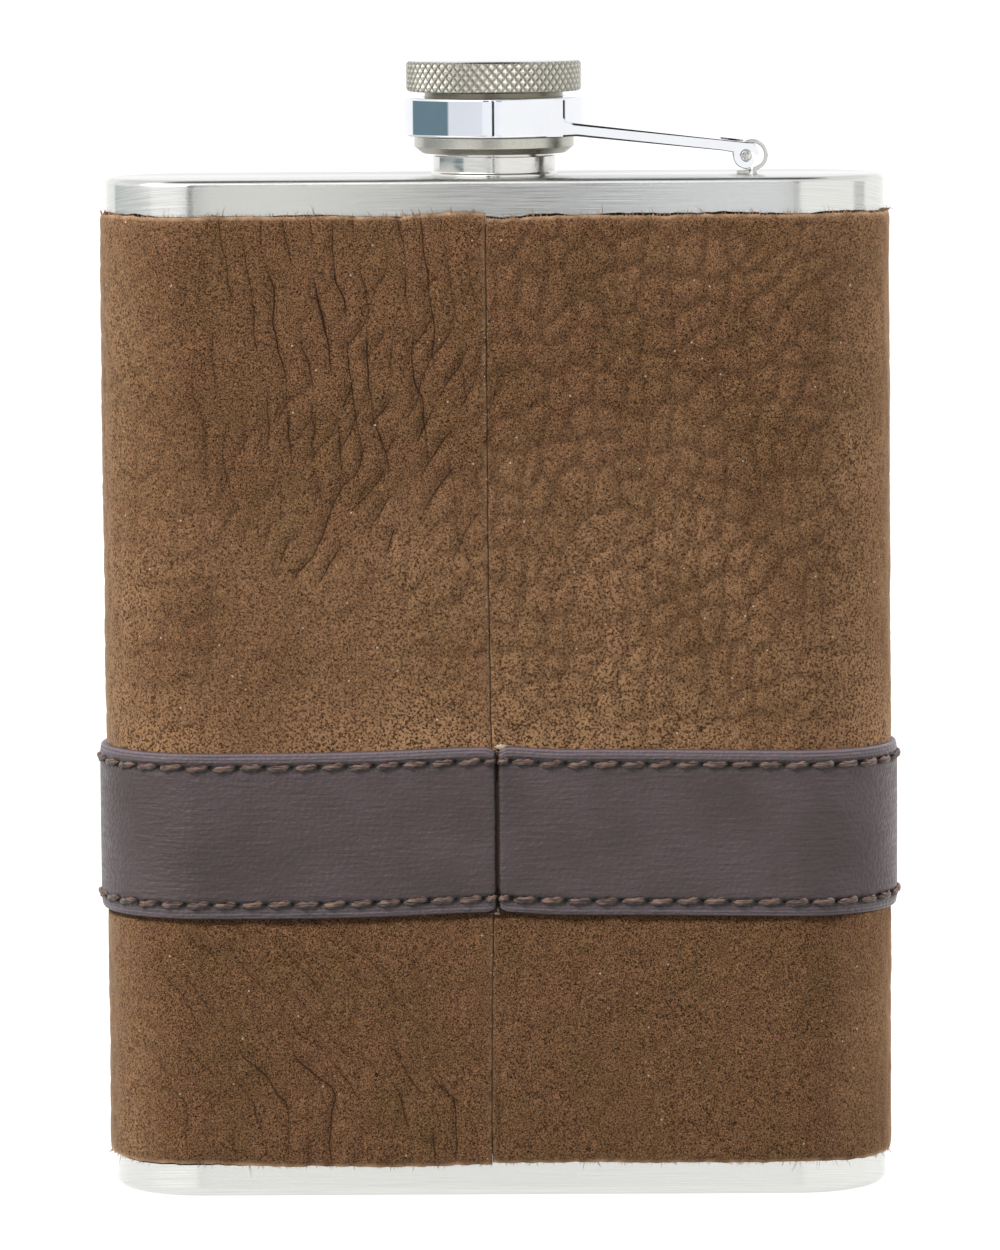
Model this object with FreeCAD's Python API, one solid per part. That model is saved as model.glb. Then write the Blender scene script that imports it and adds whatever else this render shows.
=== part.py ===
import FreeCAD, Part
import math
import os

# Hip flask with a captive screw cap, in millimetres.
# The origin is at the middle of the base and +Z is up. The face with the leather's seam looks along -Y,
# and the cap's hinge is on the +X side. Every level below counts from the base.

# Steel body: a stadium-section tube between two drawn end pans
body_width = 95.25
body_depth = 22.86
body_height = 124.5
sheet = 0.6
pan_skirt = 2.2
base_edge_radius = 1.1
top_edge_radius = 0.8

# Leather wrap, its glue and the sewn strap over it
glue_film = 0.1
leather = 0.65
sleeve_bottom = 4.2
sleeve_top = 120.0
sleeve_seam_x = -0.9
seam_gap = 0.16

strap_bottom = 34.6
strap_height = 20.4
strap_joint_x = 0.0
strap_joint_gap = 0.2
strap_glue = 0.2
strap_backing = 0.2
strap_leather = 0.35
turned_edge = 0.5
strap_glue_height = 13.0

stitch_inset = 1.8
stitch_pitch = 3.3
stitch_length = 2.6
stitch_width = 0.9
stitch_thickness = 0.3
bobbin_thickness = 0.15

# Neck: a turned spout set through the top pan
neck_radius = 7.5
neck_bore_radius = 5.5
neck_weld_radius = 7.75
neck_weld_height = 0.35
neck_tube_height = 2.4
neck_tail_radius = 7.0
neck_tail_length = 2.0
thread_root_radius = 6.4
thread_crest_radius = 6.8
thread_pitch = 1.5
thread_turns = 3
thread_start = 3.3
neck_height = 8.8

# Screw cap: a turned head, a collar pressed on its waist from below, and a sealing disc
cap_bottom = 2.7
cap_waist_radius = 8.45
cap_spigot_radius = 8.1
cap_bore_radius = 7.4
cap_thread_root_radius = 7.7
cap_bore_top = 9.9
gasket_thickness = 0.9
collar_radius = 9.75
collar_top = 4.75
collar_chamfer = 0.75
knurl_bottom = 10.25
knurl_top = 13.9
knurl_radius = 10.75
knurl_chamfer = 0.35
dome_height = 1.3

# Captive arm: a ring round the cap's waist, with a tapered plate that ends in two open eyes
ring_bottom = 4.85
ring_height = 4.7
ring_outer_radius = 11.15
ring_bore_radius = 8.75
ring_edge_radius = 0.25
pad_start_x = 6.6
pad_end_x = 8.5
pad_half_width = 8.4
arm_root_x = 8.5
arm_root_top = 6.6
arm_dip_x = 10.2
arm_root_half_width = 7.6
arm_tip_thickness = 1.25
arm_tip_half_width = 4.5
hinge_x = 30.75
hinge_z = 2.3
eye_radius = 1.6
eye_bore_radius = 0.72
fork_half_gap = 3.3
fork_depth = 3.05

# Hinge: a round pin through a looped strip that is spot-welded to the top pan
pin_radius = 0.65
loop_offset = 0.75
loop_outer_radius = 1.9
loop_inner_radius = 1.45
loop_half_width = 3.0
leg_thickness = 0.4
leg_half_gap = 0.15
foot_length = 1.5
foot_thickness = 0.3

half_straight = (body_width - body_depth) / 2
body_radius = body_depth / 2
sleeve_radius = body_radius + glue_film + leather
strap_radius = sleeve_radius + strap_glue + strap_backing + strap_leather
strap_top = strap_bottom + strap_height
shoulder = body_height
up = FreeCAD.Vector(0, 0, 1)


def stadium_block(radius, low, high):
    """A solid with two straight sides and two half-round ends of this radius, from low to high."""
    x = half_straight
    front_left = FreeCAD.Vector(-x, -radius, low)
    front_right = FreeCAD.Vector(x, -radius, low)
    back_right = FreeCAD.Vector(x, radius, low)
    back_left = FreeCAD.Vector(-x, radius, low)
    right_end = Part.Arc(front_right, FreeCAD.Vector(x + radius, 0, low), back_right)
    left_end = Part.Arc(back_left, FreeCAD.Vector(-x - radius, 0, low), front_left)
    outline = Part.Wire([
        Part.LineSegment(front_left, front_right).toShape(),
        right_end.toShape(),
        Part.LineSegment(back_right, back_left).toShape(),
        left_end.toShape(),
    ])
    return Part.Face(outline).extrude(up * (high - low))


def stadium_tube(inner_radius, outer_radius, low, high):
    """A closed band that follows the body's section, between two radii of its round ends."""
    return stadium_block(outer_radius, low, high).cut(stadium_block(inner_radius, low, high))


def cylinder(radius, low, high):
    """An upright cylinder about the cap's axis."""
    return Part.makeCylinder(radius, high - low, FreeCAD.Vector(0, 0, low), up)


def turned(profile):
    """A solid of revolution about the cap's axis, from (radius, level) corners."""
    points = [FreeCAD.Vector(r, 0, z) for r, z in profile]
    face = Part.Face(Part.makePolygon(points + [points[0]]))
    return face.revolve(FreeCAD.Vector(0, 0, 0), up, 360)


def box(x_range, y_range, z_range):
    """An upright block between two values on each axis."""
    corner = FreeCAD.Vector(x_range[0], y_range[0], z_range[0])
    return Part.makeBox(
        x_range[1] - x_range[0], y_range[1] - y_range[0], z_range[1] - z_range[0], corner)


def side_prism(outline, y_low, y_high):
    """A prism along Y from an outline of (x, z) corners."""
    points = [FreeCAD.Vector(x, y_low, z) for x, z in outline]
    face = Part.Face(Part.makePolygon(points + [points[0]]))
    return face.extrude(FreeCAD.Vector(0, y_high - y_low, 0))


def plan_prism(outline, low, high):
    """An upright prism from an outline of (x, y) corners."""
    points = [FreeCAD.Vector(x, y, low) for x, y in outline]
    face = Part.Face(Part.makePolygon(points + [points[0]]))
    return face.extrude(up * (high - low))


def cross_pin(radius, x, z, y_low, y_high):
    """A cylinder along Y."""
    return Part.makeCylinder(radius, y_high - y_low, FreeCAD.Vector(x, y_low, z), FreeCAD.Vector(0, 1, 0))


def level_edges(shape, level):
    """The shape's edges that lie in the plane at this level."""
    found = []
    for edge in shape.Edges:
        box_of_edge = edge.BoundBox
        if abs(box_of_edge.ZMin - level) < 1e-6 and abs(box_of_edge.ZMax - level) < 1e-6:
            found.append(edge)
    return found


def rounded_pan(flat_level, open_level, edge_radius):
    """A drawn pan: a flat plate whose rim turns through edge_radius into a short skirt."""
    low = min(flat_level, open_level)
    high = max(flat_level, open_level)
    outside = stadium_block(body_radius, low, high)
    outside = outside.makeFillet(edge_radius, level_edges(outside, flat_level))
    inner_flat = flat_level + math.copysign(sheet, open_level - flat_level)
    inside = stadium_block(body_radius - sheet, min(inner_flat, open_level), max(inner_flat, open_level))
    inside = inside.makeFillet(edge_radius - sheet + 0.3, level_edges(inside, inner_flat))
    return outside.cut(inside)


def make_body_shell():
    return stadium_tube(body_radius - sheet, body_radius, pan_skirt, shoulder - pan_skirt)


def make_base_pan():
    return rounded_pan(0.0, pan_skirt, base_edge_radius)


def make_top_pan():
    pan = rounded_pan(shoulder, shoulder - pan_skirt, top_edge_radius)
    return pan.cut(cylinder(neck_tail_radius, shoulder - pan_skirt, shoulder + 1))


def make_neck_spout():
    """The spout: a tail under the pan, a weld ring, a plain neck and a threaded mouth."""
    profile = [
        (neck_bore_radius, shoulder - neck_tail_length),
        (neck_tail_radius, shoulder - neck_tail_length),
        (neck_tail_radius, shoulder),
        (neck_weld_radius, shoulder),
        (neck_weld_radius, shoulder + neck_weld_height / 2),
        (neck_radius, shoulder + neck_weld_height),
        (neck_radius, shoulder + neck_tube_height),
        (thread_root_radius, shoulder + neck_tube_height),
    ]
    for turn in range(thread_turns):
        foot = shoulder + thread_start + turn * thread_pitch
        profile.append((thread_root_radius, foot))
        profile.append((thread_crest_radius, foot + thread_pitch * 0.35))
        profile.append((thread_crest_radius, foot + thread_pitch * 0.5))
        profile.append((thread_root_radius, foot + thread_pitch * 0.85))
    profile += [
        (thread_root_radius, shoulder + neck_height - 0.3),
        (thread_root_radius - 0.3, shoulder + neck_height),
        (neck_bore_radius, shoulder + neck_height),
    ]
    return turned(profile)


def make_hinge_bracket():
    """A strip rolled into a loop; its two legs stand on the pan and one turns out as a foot."""
    x = hinge_x + loop_offset
    z = shoulder + hinge_z
    w = loop_half_width
    leg_top = z - loop_inner_radius - 0.1
    loop = cross_pin(loop_outer_radius, x, z, -w, w)
    for side in (-1, 1):
        near = x + side * leg_half_gap
        far = near + side * leg_thickness
        loop = loop.fuse(box((min(near, far), max(near, far)), (-w, w), (shoulder, leg_top)))
    foot_end = x - leg_half_gap - leg_thickness
    foot = box((foot_end - foot_length, foot_end), (-w, w), (shoulder, shoulder + foot_thickness))
    loop = loop.fuse(foot)
    loop = loop.cut(cross_pin(loop_inner_radius, x, z, -w - 1, w + 1))
    slit = box((x - leg_half_gap, x + leg_half_gap), (-w - 1, w + 1), (shoulder - 1, z))
    return loop.cut(slit).removeSplitter()


def make_sleeve_glue():
    return stadium_tube(body_radius, body_radius + glue_film, sleeve_bottom + 1, sleeve_top - 1)


def front_slit(x, gap, low, high):
    """A cutter for the joint of a wrapped strip, on the front face."""
    return box((x - gap / 2, x + gap / 2), (-strap_radius - 1, 0), (low - 1, high + 1))


def make_leather_sleeve():
    wrap = stadium_tube(body_radius + glue_film, sleeve_radius, sleeve_bottom, sleeve_top)
    return wrap.cut(front_slit(sleeve_seam_x, seam_gap, sleeve_bottom, sleeve_top))


def make_strap_glue():
    middle = strap_bottom + strap_height / 2
    low = middle - strap_glue_height / 2
    return stadium_tube(sleeve_radius, sleeve_radius + strap_glue, low, low + strap_glue_height)


def make_strap_backing():
    low = strap_bottom + turned_edge
    high = strap_top - turned_edge
    wrap = stadium_tube(sleeve_radius + strap_glue, sleeve_radius + strap_glue + strap_backing, low, high)
    return wrap.cut(front_slit(strap_joint_x, strap_joint_gap, low, high))


def make_strap_face():
    """The strap's outer leather: its long edges are turned in over the backing."""
    wrap = stadium_tube(sleeve_radius, strap_radius, strap_bottom, strap_top)
    hollow = stadium_tube(
        sleeve_radius, sleeve_radius + strap_glue + strap_backing,
        strap_bottom + turned_edge, strap_top - turned_edge)
    wrap = wrap.cut(hollow)
    return wrap.cut(front_slit(strap_joint_x, strap_joint_gap, strap_bottom, strap_top))


def place_on_strap(shape, distance):
    """Moves a shape made at the origin to a distance along the strap, counted from its joint to +X.

    The shape's own X runs along the strap and its -Y looks outwards."""
    right_end = half_straight
    back = right_end + math.pi * strap_radius
    left_end = back + 2 * half_straight
    front = left_end + math.pi * strap_radius
    if distance < right_end:
        centre_x, angle = distance, 0.0
    elif distance < back:
        centre_x, angle = half_straight, (distance - right_end) / strap_radius
    elif distance < left_end:
        centre_x, angle = half_straight - (distance - back), math.pi
    elif distance < front:
        centre_x, angle = -half_straight, math.pi + (distance - left_end) / strap_radius
    else:
        centre_x, angle = -half_straight + (distance - front), 0.0
    centre = FreeCAD.Vector(centre_x, 0, 0)
    outward = FreeCAD.Vector(math.sin(angle), -math.cos(angle), 0)
    placed = shape.copy()
    placed.rotate(FreeCAD.Vector(0, 0, 0), up, math.degrees(angle))
    placed.translate(centre + outward * strap_radius)
    return placed


def make_stitch_row(level):
    """The face thread of one row: a short stitch between each pair of needle holes."""
    length_round = 4 * half_straight + 2 * math.pi * strap_radius
    count = int((length_round - stitch_pitch) / stitch_pitch)
    pitch = length_round / (count + 1)
    stitch = box(
        (-stitch_length / 2, stitch_length / 2),
        (-stitch_thickness, 0),
        (level - stitch_width / 2, level + stitch_width / 2))
    stitches = [place_on_strap(stitch, (index + 1) * pitch) for index in range(count)]
    return Part.makeCompound(stitches)


def make_bobbin_row(level):
    """The back thread of one row, which lies between the backing and the leather wrap."""
    half = stitch_width / 4
    thread = stadium_tube(sleeve_radius, sleeve_radius + bobbin_thickness, level - half, level + half)
    return thread.cut(front_slit(strap_joint_x, 2 * stitch_pitch, level - half, level + half))


def arm_plate():
    """The plate from ring to eyes: tapered in thickness and in width, and forked at its tip."""
    eye_level = shoulder + hinge_z
    tip_x = hinge_x
    outline = [
        (0, shoulder + ring_bottom),
        (arm_dip_x, shoulder + ring_bottom),
        (tip_x, eye_level + eye_radius - arm_tip_thickness),
        (tip_x, eye_level + eye_radius),
        (arm_root_x, shoulder + arm_root_top),
        (0, shoulder + arm_root_top),
    ]
    wide = arm_root_half_width
    narrow = arm_tip_half_width
    plan = [(0, -wide), (arm_root_x, -wide), (tip_x, -narrow), (tip_x, narrow), (arm_root_x, wide), (0, wide)]
    side = side_prism(outline, -wide - 1, wide + 1)
    plate = side.common(plan_prism(plan, shoulder, shoulder + ring_bottom + ring_height))
    gap = box(
        (hinge_x - fork_depth, hinge_x + eye_radius + 1),
        (-fork_half_gap, fork_half_gap),
        (shoulder, shoulder + ring_bottom + ring_height))
    return plate.cut(gap)


def arm_eye(side):
    """A disc at the fork's tip, on one side of the hinge's loop."""
    ends = sorted((side * fork_half_gap, side * arm_tip_half_width))
    return cross_pin(eye_radius, hinge_x, shoulder + hinge_z, ends[0], ends[1])


def eye_mouth():
    """The cutter that opens both eyes on their outer side: a pointed upper jaw over a short lower one."""
    r = eye_radius
    mouth = [
        (0, 0), (0.22 * r, 0.6 * r), (0.6 * r, 0.5 * r), (0.9 * r, 0.06 * r),
        (1.2 * r, 0.06 * r), (1.2 * r, -1.1 * r), (0.3 * r, -1.1 * r), (0.62 * r, -0.12 * r),
    ]
    outline = [(hinge_x + dx, shoulder + hinge_z + dz) for dx, dz in mouth]
    reach = arm_tip_half_width + 1
    return side_prism(outline, -reach, reach)


def make_captive_arm():
    """One casting: the ring, a pad on each side of it, the forked plate and the two eyes."""
    low = shoulder + ring_bottom
    high = low + ring_height
    ring = cylinder(ring_outer_radius, low, high)
    ring = ring.makeFillet(ring_edge_radius, level_edges(ring, low) + level_edges(ring, high))
    pad = [
        (0, -pad_half_width), (pad_start_x, -pad_half_width - 0.6), (pad_end_x, -pad_half_width + 0.5),
        (pad_end_x, pad_half_width - 0.5), (pad_start_x, pad_half_width + 0.6), (0, pad_half_width)]
    arm = ring.fuse(plan_prism(pad, low, high - 0.15))
    arm = arm.fuse(arm_plate())
    for side in (-1, 1):
        arm = arm.fuse(arm_eye(side))
    arm = arm.cut(eye_mouth())
    reach = arm_tip_half_width + 1
    arm = arm.cut(cross_pin(eye_bore_radius, hinge_x, shoulder + hinge_z, -reach, reach))
    arm = arm.cut(cylinder(ring_bore_radius, low - 1, high + 1))
    return arm.removeSplitter()


def make_hinge_pin():
    reach = arm_tip_half_width
    return cross_pin(pin_radius, hinge_x, shoulder + hinge_z, -reach, reach)


def make_cap_head():
    """Waist with the cap's own thread inside, then the knurled grip and its low dome."""
    profile = [
        (cap_bore_radius, shoulder + cap_bottom),
        (cap_spigot_radius, shoulder + cap_bottom),
        (cap_spigot_radius, shoulder + collar_top),
        (cap_waist_radius, shoulder + collar_top),
        (cap_waist_radius, shoulder + knurl_bottom),
        (knurl_radius - knurl_chamfer, shoulder + knurl_bottom),
        (knurl_radius, shoulder + knurl_bottom + knurl_chamfer),
        (knurl_radius, shoulder + knurl_top - knurl_chamfer),
        (knurl_radius - knurl_chamfer, shoulder + knurl_top),
        (0, shoulder + knurl_top),
        (0, shoulder + cap_bore_top),
        (cap_bore_radius, shoulder + cap_bore_top),
    ]
    groove_top = shoulder + cap_bore_top - gasket_thickness - 0.3
    for turn in range(thread_turns):
        top = groove_top - turn * thread_pitch
        profile.append((cap_bore_radius, top))
        profile.append((cap_thread_root_radius, top - thread_pitch * 0.35))
        profile.append((cap_thread_root_radius, top - thread_pitch * 0.5))
        profile.append((cap_bore_radius, top - thread_pitch * 0.85))
    head = turned(profile)
    rim = knurl_radius - knurl_chamfer
    ball_radius = (rim ** 2 + dome_height ** 2) / (2 * dome_height)
    centre = FreeCAD.Vector(0, 0, shoulder + knurl_top + dome_height - ball_radius)
    ball = Part.makeSphere(ball_radius, centre)
    dome = ball.common(cylinder(rim, shoulder + knurl_top, shoulder + knurl_top + dome_height + 1))
    return head.fuse(dome).removeSplitter()


def make_cap_collar():
    """The ring under the waist that keeps the captive ring on; its lower edge is bevelled."""
    profile = [
        (cap_spigot_radius, shoulder + cap_bottom),
        (collar_radius - 1.0, shoulder + cap_bottom),
        (collar_radius, shoulder + cap_bottom + collar_chamfer),
        (collar_radius, shoulder + collar_top - 0.1),
        (collar_radius - 0.1, shoulder + collar_top),
        (cap_spigot_radius, shoulder + collar_top),
    ]
    return turned(profile)


def make_cap_gasket():
    top = shoulder + cap_bore_top
    return cylinder(cap_bore_radius - 0.1, top - gasket_thickness, top)


nodes = {
    "body_shell": make_body_shell(),
    "base_pan": make_base_pan(),
    "top_pan": make_top_pan(),
    "neck_spout": make_neck_spout(),
    "hinge_bracket": make_hinge_bracket(),
    "sleeve_glue": make_sleeve_glue(),
    "leather_sleeve": make_leather_sleeve(),
    "strap_glue": make_strap_glue(),
    "strap_backing": make_strap_backing(),
    "strap_face": make_strap_face(),
    "upper_stitch_row": make_stitch_row(strap_top - stitch_inset),
    "lower_stitch_row": make_stitch_row(strap_bottom + stitch_inset),
    "upper_bobbin_row": make_bobbin_row(strap_top - stitch_inset),
    "lower_bobbin_row": make_bobbin_row(strap_bottom + stitch_inset),
    "captive_arm": make_captive_arm(),
    "hinge_pin": make_hinge_pin(),
    "cap_head": make_cap_head(),
    "cap_collar": make_cap_collar(),
    "cap_gasket": make_cap_gasket(),
}

os.makedirs("parts", exist_ok=True)
for name, shape in nodes.items():
    shape.exportStep(f"parts/{name}.step")
    print(f"{name}: {len(shape.Solids)} solids, {shape.Volume:.1f} mm3, valid {shape.isValid()}")

hollow = stadium_block(body_radius - sheet, sheet, shoulder - sheet).Volume / 1000
print(f"capacity to the top pan: {hollow:.0f} ml")
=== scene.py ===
import math

import bmesh
import bpy
import numpy as np
from mathutils import Matrix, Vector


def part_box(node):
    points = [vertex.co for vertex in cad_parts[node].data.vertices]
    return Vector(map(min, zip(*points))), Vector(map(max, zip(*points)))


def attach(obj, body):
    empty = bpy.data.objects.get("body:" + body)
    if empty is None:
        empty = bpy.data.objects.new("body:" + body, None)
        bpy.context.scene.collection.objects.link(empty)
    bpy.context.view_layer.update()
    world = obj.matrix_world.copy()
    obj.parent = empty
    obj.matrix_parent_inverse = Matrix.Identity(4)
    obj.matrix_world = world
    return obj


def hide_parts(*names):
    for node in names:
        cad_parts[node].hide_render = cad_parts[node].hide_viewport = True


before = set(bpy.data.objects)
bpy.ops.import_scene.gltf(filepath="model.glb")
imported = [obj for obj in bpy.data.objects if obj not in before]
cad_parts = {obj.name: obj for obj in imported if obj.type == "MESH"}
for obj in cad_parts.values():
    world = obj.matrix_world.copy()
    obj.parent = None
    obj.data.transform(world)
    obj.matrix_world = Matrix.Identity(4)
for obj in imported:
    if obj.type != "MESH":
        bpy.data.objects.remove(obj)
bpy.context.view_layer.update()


# ---- Body shell ------------------------------------------------------------------------------------------
# A tube of 0.6 mm stainless sheet with a stadium section: it is rolled, welded lengthways and brushed round
# its outside. Leather covers it, so only a narrow band of it shows above and below the wrap.

MM = 0.001


def box_of(node):
    """The lowest and highest corner of a CAD node, in millimetres."""
    low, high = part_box(node)
    return np.array(low) / MM, np.array(high) / MM


def supported(profile, reach=0.06, long_run=0.7):
    """Adds a profile point just inside both ends of every long run, so that the shading of a flat wall isn't
    bent by the small edge next to it."""
    profile = np.asarray(profile, dtype=float)
    rows = [profile[:1]]
    for here, there in zip(profile[:-1], profile[1:]):
        run = np.linalg.norm(there - here)
        if run > long_run:
            rows.append(here + (there - here) * np.array([[reach / run], [1 - reach / run]]))
        rows.append(there[None])
    return np.concatenate(rows)


def outline_steps(radius, straight_steps, end_steps):
    """Distances round a stadium of this end radius, from the middle of the seam face towards +X and back.
    Each half face and each round end is divided evenly, and the places where they meet are included."""
    end = math.pi * radius
    turns = np.cumsum([0, half_straight, end, 2 * half_straight, end, half_straight])
    steps = [straight_steps, end_steps, 2 * straight_steps, end_steps, straight_steps]
    runs = [np.linspace(a, b, n, endpoint=False) for a, b, n in zip(turns[:-1], turns[1:], steps)]
    return np.append(np.concatenate(runs), turns[-1])


def around_body(distance, radius):
    """Walks round a stadium of this end radius: the centre moves along the straight faces and stays still at
    the ends, while the outward direction turns only at the ends. Gives the centre's x and that direction."""
    end = math.pi * radius
    back = half_straight + end
    left = back + 2 * half_straight
    front = left + end
    centre = np.minimum(distance, half_straight)
    centre = centre - np.clip(distance - back, 0, 2 * half_straight)
    centre = centre + np.clip(distance - front, 0, None)
    angle = np.clip((distance - half_straight) / radius, 0, math.pi)
    angle = angle + np.clip((distance - left) / radius, 0, math.pi)
    return centre, np.sin(angle), -np.cos(angle)


def grid_faces(rows, columns):
    """The quads that join the neighbours in a grid of points, which are numbered row by row."""
    index = np.arange(rows * columns).reshape(rows, columns)
    return np.stack([index[:-1, :-1], index[:-1, 1:], index[1:, 1:], index[1:, :-1]], axis=-1).reshape(-1, 4)


def closed_piece(name, points, faces, uv=None, marks=None, sharp=None, merged=True):
    """Makes a piece from points in mm and faces, with the faces turned outwards. uv and each array in marks
    follow the points. merged joins points that meet and shades the piece smoothly, but for edges that bend by
    more than sharp degrees."""
    mesh = bpy.data.meshes.new(name)
    mesh.from_pydata(points.reshape(-1, 3) * MM, [], faces)
    for mark, values in (marks or {}).items():
        mesh.attributes.new(mark, "FLOAT", "POINT").data.foreach_set("value", values.ravel())
    if uv is not None:
        corners = np.empty(len(mesh.loops), dtype=np.int32)
        mesh.loops.foreach_get("vertex_index", corners)
        mesh.uv_layers.new(name="surface").data.foreach_set("uv", (uv.reshape(-1, 2)[corners] * MM).ravel())
    closed = bmesh.new()
    closed.from_mesh(mesh)
    if merged:
        bmesh.ops.remove_doubles(closed, verts=closed.verts, dist=0.0005 * MM)
    bmesh.ops.recalc_face_normals(closed, faces=closed.faces)
    closed.to_mesh(mesh)
    closed.free()
    if merged:
        mesh.shade_smooth()
    if sharp is not None:
        mesh.set_sharp_from_angle(angle=math.radians(sharp))
    piece = bpy.data.objects.new(name, mesh)
    bpy.context.scene.collection.objects.link(piece)
    return piece


def surface_piece(name, points, uv=None, marks=None, cap_ends=False, sharp=35):
    """Makes a piece from a grid of points in mm. cap_ends closes the first and last column, where the rows
    run round a closed profile."""
    rows, columns = points.shape[:2]
    faces = grid_faces(rows, columns).tolist()
    if cap_ends:
        faces += [list(range(column, (rows - 1) * columns, columns)) for column in (0, columns - 1)]
    return closed_piece(name, points, faces, uv, marks, sharp)


def linear(code):
    """An sRGB hex colour as linear red, green, blue and alpha."""
    values = np.array([int(code[i:i + 2], 16) for i in (1, 3, 5)]) / 255
    values = np.where(values <= 0.04045, values / 12.92, ((values + 0.055) / 1.055) ** 2.4)
    return (*values.tolist(), 1.0)


def wire(node, inputs):
    """Gives each input of a node its value: a number, an sRGB hex colour, another node's output, or another
    node, which stands for its first output in use."""
    for key, value in inputs.items():
        if isinstance(value, bpy.types.Node):
            value = next(output for output in value.outputs if output.enabled)
        if isinstance(value, bpy.types.NodeSocket):
            node.id_data.links.new(value, node.inputs[key])
        else:
            node.inputs[key].default_value = linear(value) if isinstance(value, str) else value


def add(tree, kind, inputs=None, stops=(), **settings):
    """Adds one node to a tree, with its inputs and settings. stops are a colour ramp's places and colours."""
    node = tree.nodes.new("ShaderNode" + kind)
    for key, value in settings.items():
        setattr(node, key, value)
    for place, code in stops[1:-1]:
        node.color_ramp.elements.new(place).color = linear(code)
    for end in (0, -1) if stops else ():
        node.color_ramp.elements[end].position = stops[end][0]
        node.color_ramp.elements[end].color = linear(stops[end][1])
    wire(node, inputs or {})
    return node


def start_material(name, values):
    """A material whose Principled shader has these constant values. Returns it with its tree and shader."""
    material = bpy.data.materials.new(name)
    material.use_nodes = True
    shader = material.node_tree.nodes["Principled BSDF"]
    wire(shader, values)
    return material, material.node_tree, shader


# Brushed 304 stainless: a belt leaves fine parallel scratches along the sheet, which blur what it reflects
# and let the light break into thin lines. The scratches are drawn 0.12 mm apart, coarser than 240 grit.
scratch_spacing = 0.12
scratch_length = 9.0
brushed_steel, tree, shader = start_material("brushed_stainless_304", {
    "Metallic": 1.0, "Anisotropic": 0.9, "Anisotropic Rotation": 0.25})
place = add(tree, "UVMap", uv_map="surface")
scratch_place = add(tree, "Mapping", {
    "Vector": place,
    "Scale": (1 / (scratch_length * MM), 1 / (scratch_spacing * MM), 1.0)})
scratches = add(tree, "TexNoise", {"Vector": scratch_place, "Scale": 1.0, "Detail": 3.0})
tint = add(tree, "Mix", {0: scratches, 6: "#c3c3bf", 7: "#eaeae6"}, data_type="RGBA")
gloss = add(tree, "MapRange", {"Value": scratches, "From Min": 0.3, "From Max": 0.7,
                               "To Min": 0.17, "To Max": 0.27})
scratch_bump = add(tree, "Bump", {"Height": scratches, "Distance": 0.006 * MM, "Strength": 0.6})
along_sheet = add(tree, "Tangent", direction_type="RADIAL", axis="Z")
wire(shader, {"Base Color": tint, "Roughness": gloss, "Normal": scratch_bump, "Tangent": along_sheet})

shell_low, shell_high = box_of("body_shell")
body_radius = shell_high[1]
half_straight = shell_high[0] - body_radius
sheet = 0.6

body_steps = outline_steps(body_radius, 18, 72)
body_centre, body_out_x, body_out_y = around_body(body_steps, body_radius)


def carried_round(radii, levels):
    """A profile of (radius, level) carried round the body: each row keeps one radius and one level."""
    x = body_centre + radii[:, None] * body_out_x
    y = radii[:, None] * body_out_y
    return np.stack([x, y, np.broadcast_to(levels[:, None], x.shape)], axis=-1)


def grain_round(points):
    """Surface coordinates for a body band: distance round the outline, and level plus depth."""
    rows = len(points)
    return np.stack([np.tile(body_steps, (rows, 1)), points[:, :, 2] + 0.2 * points[:, :, 1]], axis=-1)


shell_radii = np.array([0, 0, -sheet, -sheet, 0]) + body_radius
shell_levels = np.array([shell_low[2], shell_high[2], shell_high[2], shell_low[2], shell_low[2]])
shell_points = carried_round(shell_radii, shell_levels)
shell_tube = surface_piece("shell_tube", shell_points, grain_round(shell_points))
shell_tube.data.materials.append(brushed_steel)
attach(shell_tube, "flask")
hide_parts("body_shell")


# ---- Base pan --------------------------------------------------------------------------------------------
# The bottom is a pan drawn from the same sheet. Its skirt is welded to the tube and ground flush, and its
# rounded rim is what the flask stands on.

def arc(centre_r, centre_z, radius, start, end, steps):
    """Points on an arc in the (radius, level) plane, between two angles in degrees from outwards."""
    angle = np.radians(np.linspace(start, end, steps))
    return np.stack([centre_r + radius * np.cos(angle), centre_z + radius * np.sin(angle)], axis=-1)


base_low, base_high = box_of("base_pan")
base_edge = 1.1
inner_edge = 0.8
base_profile = np.concatenate([
    [[0, base_low[2]], [body_radius - 4, base_low[2]], [body_radius - base_edge - 0.3, base_low[2]]],
    arc(body_radius - base_edge, base_low[2] + base_edge, base_edge, -90, 0, 10),
    [[body_radius, base_high[2]], [body_radius - sheet, base_high[2]]],
    arc(body_radius - sheet - inner_edge, base_low[2] + sheet + inner_edge, inner_edge, 0, -90, 8),
    [[0, base_low[2] + sheet]],
])
base_profile = supported(base_profile)
base_points = carried_round(base_profile[:, 0], base_profile[:, 1])
base_pan_pressing = surface_piece("base_pan_pressing", base_points, grain_round(base_points))
base_pan_pressing.data.materials.append(brushed_steel)
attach(base_pan_pressing, "flask")
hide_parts("base_pan")


# ---- Top pan ---------------------------------------------------------------------------------------------
# The shoulder is a second pan, drawn with a tighter rim and pierced for the neck. It is welded in, ground
# flush with the tube and brushed lengthways over its flat top.

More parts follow.
